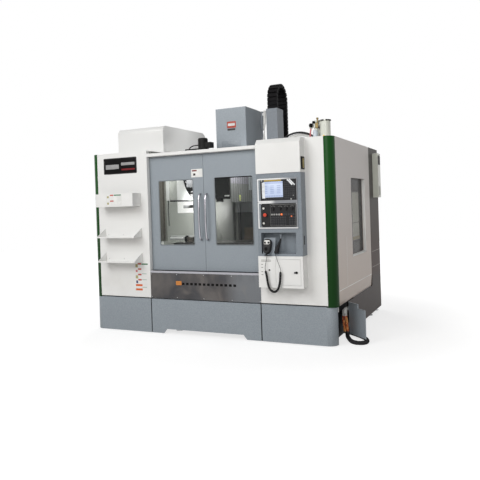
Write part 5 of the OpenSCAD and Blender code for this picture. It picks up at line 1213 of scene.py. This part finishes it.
piece("pendant_case", tapered(97, 160, 46, CASE, 0.80), black_plastic,
      stands_for=("pendant_body",))
FACE_PLATE, DIAL = [(0, 0), (0, 0.5), (0.5, 0.8)], [(0, 0), (0, 0.4), (1, 0.8)]
piece("pendant_plate", pads([on_pendant(120, 42)], 68, 44, 12, FACE_PLATE, up=LEAN_UP), key_white)
piece("pendant_dial", pads([on_pendant(47, 51.2)], 40, 40, 20, DIAL, up=LEAN_UP, per=8), plate_black)
foot_line = np.array([on_pendant(up, 21) for up in (1, -6, -14, -23)])
piece("pendant_foot", tube(foot_line, [13, 12, 9, 6], 14, aside=(0, 1, 0)), soft_black)
print("pendant leans", round(math.degrees(LEAN)), "degrees")

# %% [markdown]
# Where the cord leaves the shell it runs through a grey gland and a ribbed rubber boot that spares
# it the bend. The boot is a tube that gets thicker along its line, with shallow waves.

# %% Boot and gland
boot_line = smooth_line([[1003, -88, 1138], [997, -104, 1100], [988, -128, 1058], [979, -148, 1022],
                         [974, -157, 992]], 6)
boot_waves = 1 + 0.05 * np.sin(np.arange(len(boot_line)) * 2.4)
piece("cord_boot", tube(boot_line, np.linspace(8, 25, len(boot_line)) * boot_waves, 16), soft_black)
GLAND = [(0, 15), (6, 15), (8, 12), (34, 12), (36, 10), (52, 9)]
piece("cord_gland", turned(GLAND, (1004, -84, 1196), -Z), shell_grey)
print("boot rings:", len(boot_line))

# %% [markdown]
# ## Filter, keyhole and small slots
# The control's top box breathes through a tan filter in a black frame. The lower box has a keyhole
# and a few pressed louvres, and the grey shell a narrow port in its right side.

# %% Vent and keyhole
VENT_X, VENT_Z = 1266.05, 1928
FILTER = [(0, 0), (0, 1.6), (1, 2.2)]
LOUVRE = [(0, 0), (0, 1.6), (1, 2.4)]
piece("vent_frame", rim([1266.1, -70, VENT_Z], 112, 134, 8, [(0, 0), (0, 3), (2, 4), (14, 4), (14, 0)],
                        right=Y), plate_black)
# A black pad inside the vent's frame beside the filter: painted shade.
piece("vent_shade", pads([[VENT_X, -92, VENT_Z]], 52, 112, 4, [(0, 0), (0, 1.2)], right=Y), plate_black)
piece("vent_filter", pads([[VENT_X, -46, VENT_Z]], 44, 100, 3, FILTER, right=Y), filter_tan)
vent_slats = [[1268.2, -46, 1888 + 16 * i] for i in range(6)]
piece("vent_louvres", pads(vent_slats, 40, 4, 1.5, LOUVRE, right=Y), filter_tan)
BOX_Y = -150.05
KEYHOLE = [(0, 0), (0, 2), (2, 3), (7, 3), (7.2, 1)]
piece("keyhole", pads([[888, BOX_Y, 811]], 20, 20, 10, KEYHOLE, per=6), plate_black)
box_slats = [[853, BOX_Y, 917 - 13 * i] for i in range(2)]
piece("box_louvres", pads(box_slats, 112, 5, 2, [(0, 0), (0.5, 1.6), (1.5, 2.0)]), mid_strip)
box_marks = [[806, BOX_Y, z] for z in (870, 838, 792, 760)]
piece("box_marks", pads(box_marks, 22, 6, 2, STICKER), mid_strip)
piece("shell_port", pads([[1265.1, -82, 1121]], 17, 92, 3, [(0, 0), (0, 1.2), (1, 1.8)], right=Y),
      plate_black)
print("louvres:", len(vent_slats) + len(box_slats))

# %% [markdown]
# ## On the roof
# A flat set of cables runs through the chain. It is one skin: a wavy outline, as wide as the chain
# is inside, carried up, over the arch and down. It rides on the head, as the chain does.

# %% Cable set
ARCH_Y, ARCH_Z, ARCH_R = 1400.0, 2899.0, 175.0
CABLES, HALF_WIDTH, CHAIN_X = 6, 61, 439
sweep = np.linspace(np.pi, 0, 41)
chain_path = np.vstack([[[ARCH_Y - ARCH_R, z] for z in np.linspace(2752, ARCH_Z - 4, 10)],
                        np.stack([ARCH_Y + ARCH_R * np.cos(sweep), ARCH_Z + ARCH_R * np.sin(sweep)], 1),
                        [[ARCH_Y + ARCH_R, z] for z in np.linspace(ARCH_Z - 4, 2160, 30)]])
along = unit(np.gradient(chain_path, axis=0))
outwards = np.stack([-along[:, 1], along[:, 0]], 1)
x_run = np.linspace(-HALF_WIDTH, HALF_WIDTH, 49)
waves = np.abs(np.sin(np.pi * (x_run + HALF_WIDTH) / (2 * HALF_WIDTH) * CABLES))
swell = 3.0 + 11.0 * waves ** 0.7
flat_loop = np.vstack([np.column_stack([x_run, swell]), np.column_stack([x_run[::-1], -swell[::-1]])])
cable_table = np.empty((len(chain_path), len(flat_loop), 3))
cable_table[..., 0] = CHAIN_X + flat_loop[None, :, 0]
cable_table[..., 1:] = chain_path[:, None, :] + outwards[:, None, :] * flat_loop[None, :, 1:]
piece("chain_cables", skin(cable_table, cap_first=True, cap_last=True), chain_black, "head")
print("cables:", CABLES)

# %% [markdown]
# White corrugated pipe runs down beside the head's cover, pinched where a tie holds it. A black
# conduit arches over a white ribbed one on the right part of the roof.

# %% Flexible pipes
def corrugated(line, radius, depth, pitch, sides=14, aside=(0, 1, 0), per=6):
    """A tube whose radius falls by depth once per pitch; radius is a number, or (shares, radii)."""
    line = np.asarray(line, float)
    count = int(evenly(line, 10)[1] / pitch) * per + 1
    if isinstance(radius, tuple):
        radius = np.interp(np.linspace(0, 1, count), *radius)
    wave = radius - depth * (0.5 - 0.5 * np.cos(2 * np.pi * np.arange(count) / per))
    return tube(evenly(line, count)[0], wave, sides, aside)


white_pipe = smooth_line([[352, 1150, 2724], [348, 1150, 2640], [344, 1150, 2558], [337, 1150, 2504],
                          [340, 1150, 2462], [334, 1150, 2424], [331, 1150, 2365], [328, 1150, 2290],
                          [328, 1150, 2206]], 10)
PINCH = ([0, 0.31, 0.36, 0.44, 0.50, 0.55, 0.64, 0.70, 1], [19, 19, 15, 13, 6.5, 9, 15, 17, 17])
piece("cover_pipe", corrugated(white_pipe, PINCH, 2.0, 9), hose_white, "head")
ARC_X, ARC_Z = 1065, 2001  # the middle of both arcs lies below the roof


def roof_arc(first, last, radius, depth):
    """A circle's arc over the roof: its middle plus radius * (cos, sin), first to last in degrees."""
    arc = np.linspace(math.radians(first), math.radians(last), 90)
    x, z = ARC_X + radius * np.cos(arc), ARC_Z + radius * np.sin(arc)
    return np.stack([x, np.full(len(arc), depth), z], 1)


piece("roof_conduit", tube(roof_arc(140.6, 39.4, 306, 400.0), 10.8, 14), soft_black)
piece("roof_ribbed", corrugated(roof_arc(136.6, 43.4, 282, 430.0), 16.2, 1.8, 8), hose_white)
print("flexible pipes: 3")

# %% [markdown]
# The air unit's reservoir wears a cap of its own cream paint with black clips round it. A clip is
# one pad, turned to face outwards at each of ten angles.

# %% Reservoir cap and clips
TANK_X, TANK_Y, TANK_TOP = 1442, 200, 2374
CAP_RING = [(0, 57.6), (2, 59.5), (14, 59.5), (16, 56), (20, 40), (20, 20)]
piece("reservoir_cap", turned(CAP_RING, (TANK_X, TANK_Y, TANK_TOP), Z), cream_enamel)
clip_angles = np.radians([-160, -118, -98, -60, -38, -15, 20, 60, 100, 140])
clips = [pads([[TANK_X + 57 * np.cos(a), TANK_Y + 57 * np.sin(a), TANK_TOP + 10]], 20, 14, 3,
              [(0, 0), (0, 5), (1.5, 6.5)], right=np.array([-np.sin(a), np.cos(a), 0]))
         for a in clip_angles]
piece("reservoir_clips", joined(clips), plate_black)
BOSS = [(0, 16), (12, 16), (14, 12), (28, 12), (30, 9)]
piece("reservoir_brass", turned(BOSS, (TANK_X, 160, 2212), -Y, X, Z), brass)
print("clips:", len(clips))

# %% [markdown]
# Beside it stands the regulator: a clear bowl, a block and stem of old brass, two black knobs that
# face different ways, and a pink and a plum hose that end in the roof.

# %% Regulator, knobs and hoses
old_brass = hair_steel("old_brass", (0.20, 0.15, 0.07), 0.35, (200, 200, 200))
bowl_glass = moulded("bowl_glass", (0.50, 0.56, 0.62), 0.3, 300, 0.3)
BOWL = [(0, 14), (3, 22), (8, 27), (76, 27), (84, 22)]
STEM = [(0, 12), (10, 12), (14, 8), (50, 8), (54, 13), (66, 13), (70, 8)]
piece("regulator_bowl", turned(BOWL, (1336, 185, 2205), Z), bowl_glass)
piece("regulator_head", pads([[1360, 162, 2336]], 34, 60, 6, [(0, 0), (0, 6), (3, 9)]), old_brass)
piece("regulator_stem", turned(STEM, (1362, 185, 2352), Z), old_brass)
KNOBS = {"knob_low": ([(0, 16), (2, 22), (22, 22), (28, 18), (30, 6)], (1305, 168, 2340), (-0.6, -0.8)),
         "knob_high": ([(0, 12), (2, 15.5), (15, 15.5), (18, 10)], (1328, 172, 2371), (-0.4, -0.9))}
for name, (profile, spot, (east, north)) in KNOBS.items():
    facing, aside = unit(np.array([east, north, 0])), unit(np.array([-north, east, 0]))
    piece(name, turned(profile, spot, facing, aside, Z), plate_black)
pink_line = smooth_line([[1288, 185, 2314], [1280, 186, 2267], [1276, 188, 2227], [1276, 188, 2198]], 8)
plum_line = smooth_line([[1372, 190, 2327], [1392, 190, 2287], [1384, 192, 2237], [1384, 192, 2198]], 8)
piece("hose_pink", tube(pink_line, 8.4, 12), hose_pink)
piece("hose_plum", tube(plum_line, 7.2, 12), hose_plum)
print("knobs:", len(KNOBS), "and two hoses")

# %% [markdown]
# ## Folds on the right side and the rear cabinet
# Where a sheet is folded a thin edge catches the light. Each is a low bead along the sheet, paler
# than the sheet: a painted highlight. A bead is given by its two ends, so that it can run level,
# upright or aslant.

# %% Beads
SIDE_X = 1570.05
cabinet_bead_highlight = powder_coat("cabinet_bead_highlight", (0.26, 0.20, 0.17), (0.20, 0.16, 0.13), 0.35)


def bead(name, start, end, width, material):
    """A flat bar on the right side from start to end, both (y, z); it stands 1.3 mm proud."""
    start, end = np.array([0.0, *start]), np.array([0.0, *end])
    ahead = unit(end - start)
    levels = [(0, 0), (0.4, 0.9), (width / 3, 1.3)]
    shape = pads([(start + end) / 2 + [SIDE_X, 0, 0]], float(np.linalg.norm(end - start)), width,
                 width / 2.1, levels, right=ahead, up=np.cross(X, ahead))
    return piece(name, shape, material)


bead("fold_line", (104, 571), (1640, 558), 7, bead_white)
bead("seam_line", (447, 578), (458, 1120), 4, bead_white)
for name, z in (("cabinet_bead_high", 842), ("cabinet_bead_low", 640)):
    bead(name, (1712, z), (2186, z), 5, cabinet_bead_highlight)
print("beads: 4")

# %% [markdown]
# The cabinet cooler has a dark opening with seven slats across it.

# %% Cooler vent
slats = [[1646, 1955, 1996 + 15 * i] for i in range(7)]
piece("cooler_vent", pads([[1644.05, 1955, 2042]], 128, 118, 4, [(0, 0), (0, 1.5), (1, 2.2)], right=Y),
      plate_black)
piece("cooler_louvres", pads(slats, 118, 5, 2, LOUVRE, right=Y), plate_dark)
print("slats:", len(slats))

# %% [markdown]
# Behind the seams of the skirts lies a dark joint strip. Behind the open access door a black guard
# closes the base; its black is partly painted shade of the dark bay. A dark strip along the beam above
# it is a painted shade.

# %% Joint strips and guard
for k, x in enumerate((-729, 711)):
    strip = pads([[x, 6.2, 212]], 40, 404, 2, [(0, 0), (0, 2.4), (0.8, 3.0)])
    piece(f"skirt_joint_{k}", strip, plate_black)
GUARD = [(0, 0), (0, 1.6), (0.6, 2.0)]
piece("bay_guard", pads([[1458, 520, 200]], 810, 384, 4, GUARD, right=Y), plate_black)
piece("beam_shade", pads([[1555.05, 420, 380]], 620, 56, 2, [(0, 0), (0, 0.4)], right=Y), plate_black)
print("skirt joints: 2")

# %% [markdown]
# ## Screws
# Button-head screws hold the sheets. A head is a round pad that rises to a dome and dips again in
# the middle, where the key goes in. The kick panel, the trays, the control's frames, the header and
# the cooler have visible ones.

# %% Screws
SCREW = [(0, 0), (0.3, 1.6), (1.8, 3.2), (3.2, 3.5), (3.3, 1.2)]
SCREW_WIDTH = 12  # the width for which the levels above are drawn


def screws(name, spots, width, material, body="machine_frame", right=X, up=Z):
    """The same screw on every spot, its levels scaled to its width."""
    levels = [(inset * width / SCREW_WIDTH, rise * width / SCREW_WIDTH) for inset, rise in SCREW]
    return piece(name, pads(spots, width, width, width / 2, levels, right, up, per=4), material, body)


on_kick = [[x, KICK_Y, z] for x in (-715, -360, 0, 360, 705) for z in (441, 713)]
on_trays = [[x, -3.4, z] for x in (-1330, -1105, -880) for z in (1190, 892)]
on_unit = [[820, -149.1, 1780], [1211, -149.1, 1780]]
on_panel = [[x, -147.1, z] for x in (818, 1211) for z in (1272, 1508)]
on_header = [[x, FACE_Y, 2142] for x in np.linspace(-690, 690, 7)]
on_cooler = [[1644.1, y, z] for y in (1890, 2020) for z in (1565, 2115)]
screws("kick_screws", on_kick, 11, ground_steel)
screws("tray_screws", on_trays, 11, ground_steel)
screws("panel_screws", on_unit + on_panel, 8, ground_steel)
screws("header_screws", on_header, 9, panel_white)
screws("cooler_screws", on_cooler, 9, ground_steel, right=Y)
print("screws:", sum(map(len, (on_kick, on_trays, on_unit, on_panel, on_header, on_cooler))))

# %% [markdown]
# ## Floor and light
# The photograph was cut out on white, so the floor and the background are plain and pale where the
# picture sees them. The light that they throw on the machine is weaker than that: the rays that
# the camera sees are told apart from the rays that light it.

# %% Floor
FLOOR_HALF = 14  # metres


def eye_ray(tree):
    """1 for the rays that the picture shows, in a mirror or through glass too; 0 for the light."""
    path = Wire(tree)
    direct, mirror, through = (path.node("ShaderNodeLightPath", out=k) for k in (0, 3, 6))
    return direct.sum("MAXIMUM", direct, mirror.sum("MAXIMUM", mirror, through))


floor_paint = Finish("floor_paint", Roughness=0.8, Emission_Strength=1.0, Specular_IOR_Level=0.1)
pale = floor_paint.noise(1.5, 3) * 0.04 + 0.6
watched = eye_ray(floor_paint.tree)
distance = floor_paint.where.node("ShaderNodeVectorMath", {"operation": "LENGTH"},
                                  {0: floor_paint.where}, out=1)
glow = distance.above(1.9, 2.2).mix((0.72, 0.72, 0.72), (0.97, 0.97, 0.97))
seen = pale.mix((0.30, 0.30, 0.30), (0.36, 0.36, 0.36))
floor_paint.set(Base_Color=watched.mix((0.60, 0.58, 0.56), seen),
                Emission_Color=watched.mix((0, 0, 0), glow))
corners = np.array([[-1, -1, 0], [1, -1, 0], [1, 1, 0], [-1, 1, 0]], float) * FLOOR_HALF
floor_mesh = bpy.data.meshes.new("floor")
floor_mesh.from_pydata(corners.tolist(), [], [[0, 1, 2, 3]])
floor = bpy.data.objects.new("floor", floor_mesh)
bpy.context.scene.collection.objects.link(floor)
floor_mesh.materials.append(floor_paint.material)
print("floor", 2 * FLOOR_HALF, "m wide")

# %% [markdown]
# One large soft lamp stands high on the left front, a weaker one on the right, and one behind that
# draws the upper edges. Four small ones work where the large ones don't reach: behind the head's
# cover on the roof, and inside the working space, which would be black behind its panes. The world
# fills the rest.

# %% Lamps
def lamp(name, spot, aim, size, power, colour=(1, 1, 1)):
    """A square soft lamp in drawing millimetres, turned to look at aim."""
    light = bpy.data.lights.new(name, "AREA")
    light.size, light.energy, light.color = size, power, colour
    holder = bpy.data.objects.new(name, light)
    bpy.context.scene.collection.objects.link(holder)
    back = unit(place(spot) - place(aim))
    side = unit(np.cross([0, 0, 1], back))
    over = np.cross(back, side)
    holder.matrix_world = Matrix([[side[k], over[k], back[k], place(spot)[k]] for k in range(3)]
                                 + [[0, 0, 0, 1]])


LAMPS = {  # name: place, aim, size in metres, watts
    "key_lamp": ((-1900, -6000, 5400), (0, 300, 1100), 4.0, 300),
    "front_lamp": ((3900, -6600, 3700), (900, 500, 1200), 3.5, 170, (1.0, 0.985, 0.97)),
    "back_lamp": ((-3000, 6500, 4500), (0, 1000, 1500), 3.0, 160),
    "roof_lamp": ((-330, 1120, 2700), (-800, 1060, 2380), 0.35, 1.3),
    "cabin_lamp_left": ((-420, 330, 2060), (-620, 1000, 1200), 0.25, 7),
    "cabin_lamp_right": ((420, 330, 2060), (250, 1000, 1200), 0.25, 3.6),
    "cabin_lamp_rear": ((-470, 950, 1450), (-1100, 1342, 1440), 0.2, 6.0),
}
for name, row in LAMPS.items():
    lamp(name, *row)
print("lamps:", len(LAMPS))

# %% [markdown]
# The world is white for the camera and dimmer as a light, by the same test of rays as the floor.

# %% World
WORLD_LIGHT = 0.28
world = bpy.data.worlds.new("studio")
bpy.context.scene.world = world
world.use_nodes = True
background = world.node_tree.nodes["Background"]
strength = eye_ray(world.node_tree) * (1 - WORLD_LIGHT) + WORLD_LIGHT
world.node_tree.links.new(strength.socket, background.inputs["Strength"])
background.inputs["Color"].default_value = (1, 1, 1, 1)
print("the world is 1 for the camera and", WORLD_LIGHT, "as a light")

# %% New pieces
print("new pieces:", len(made))
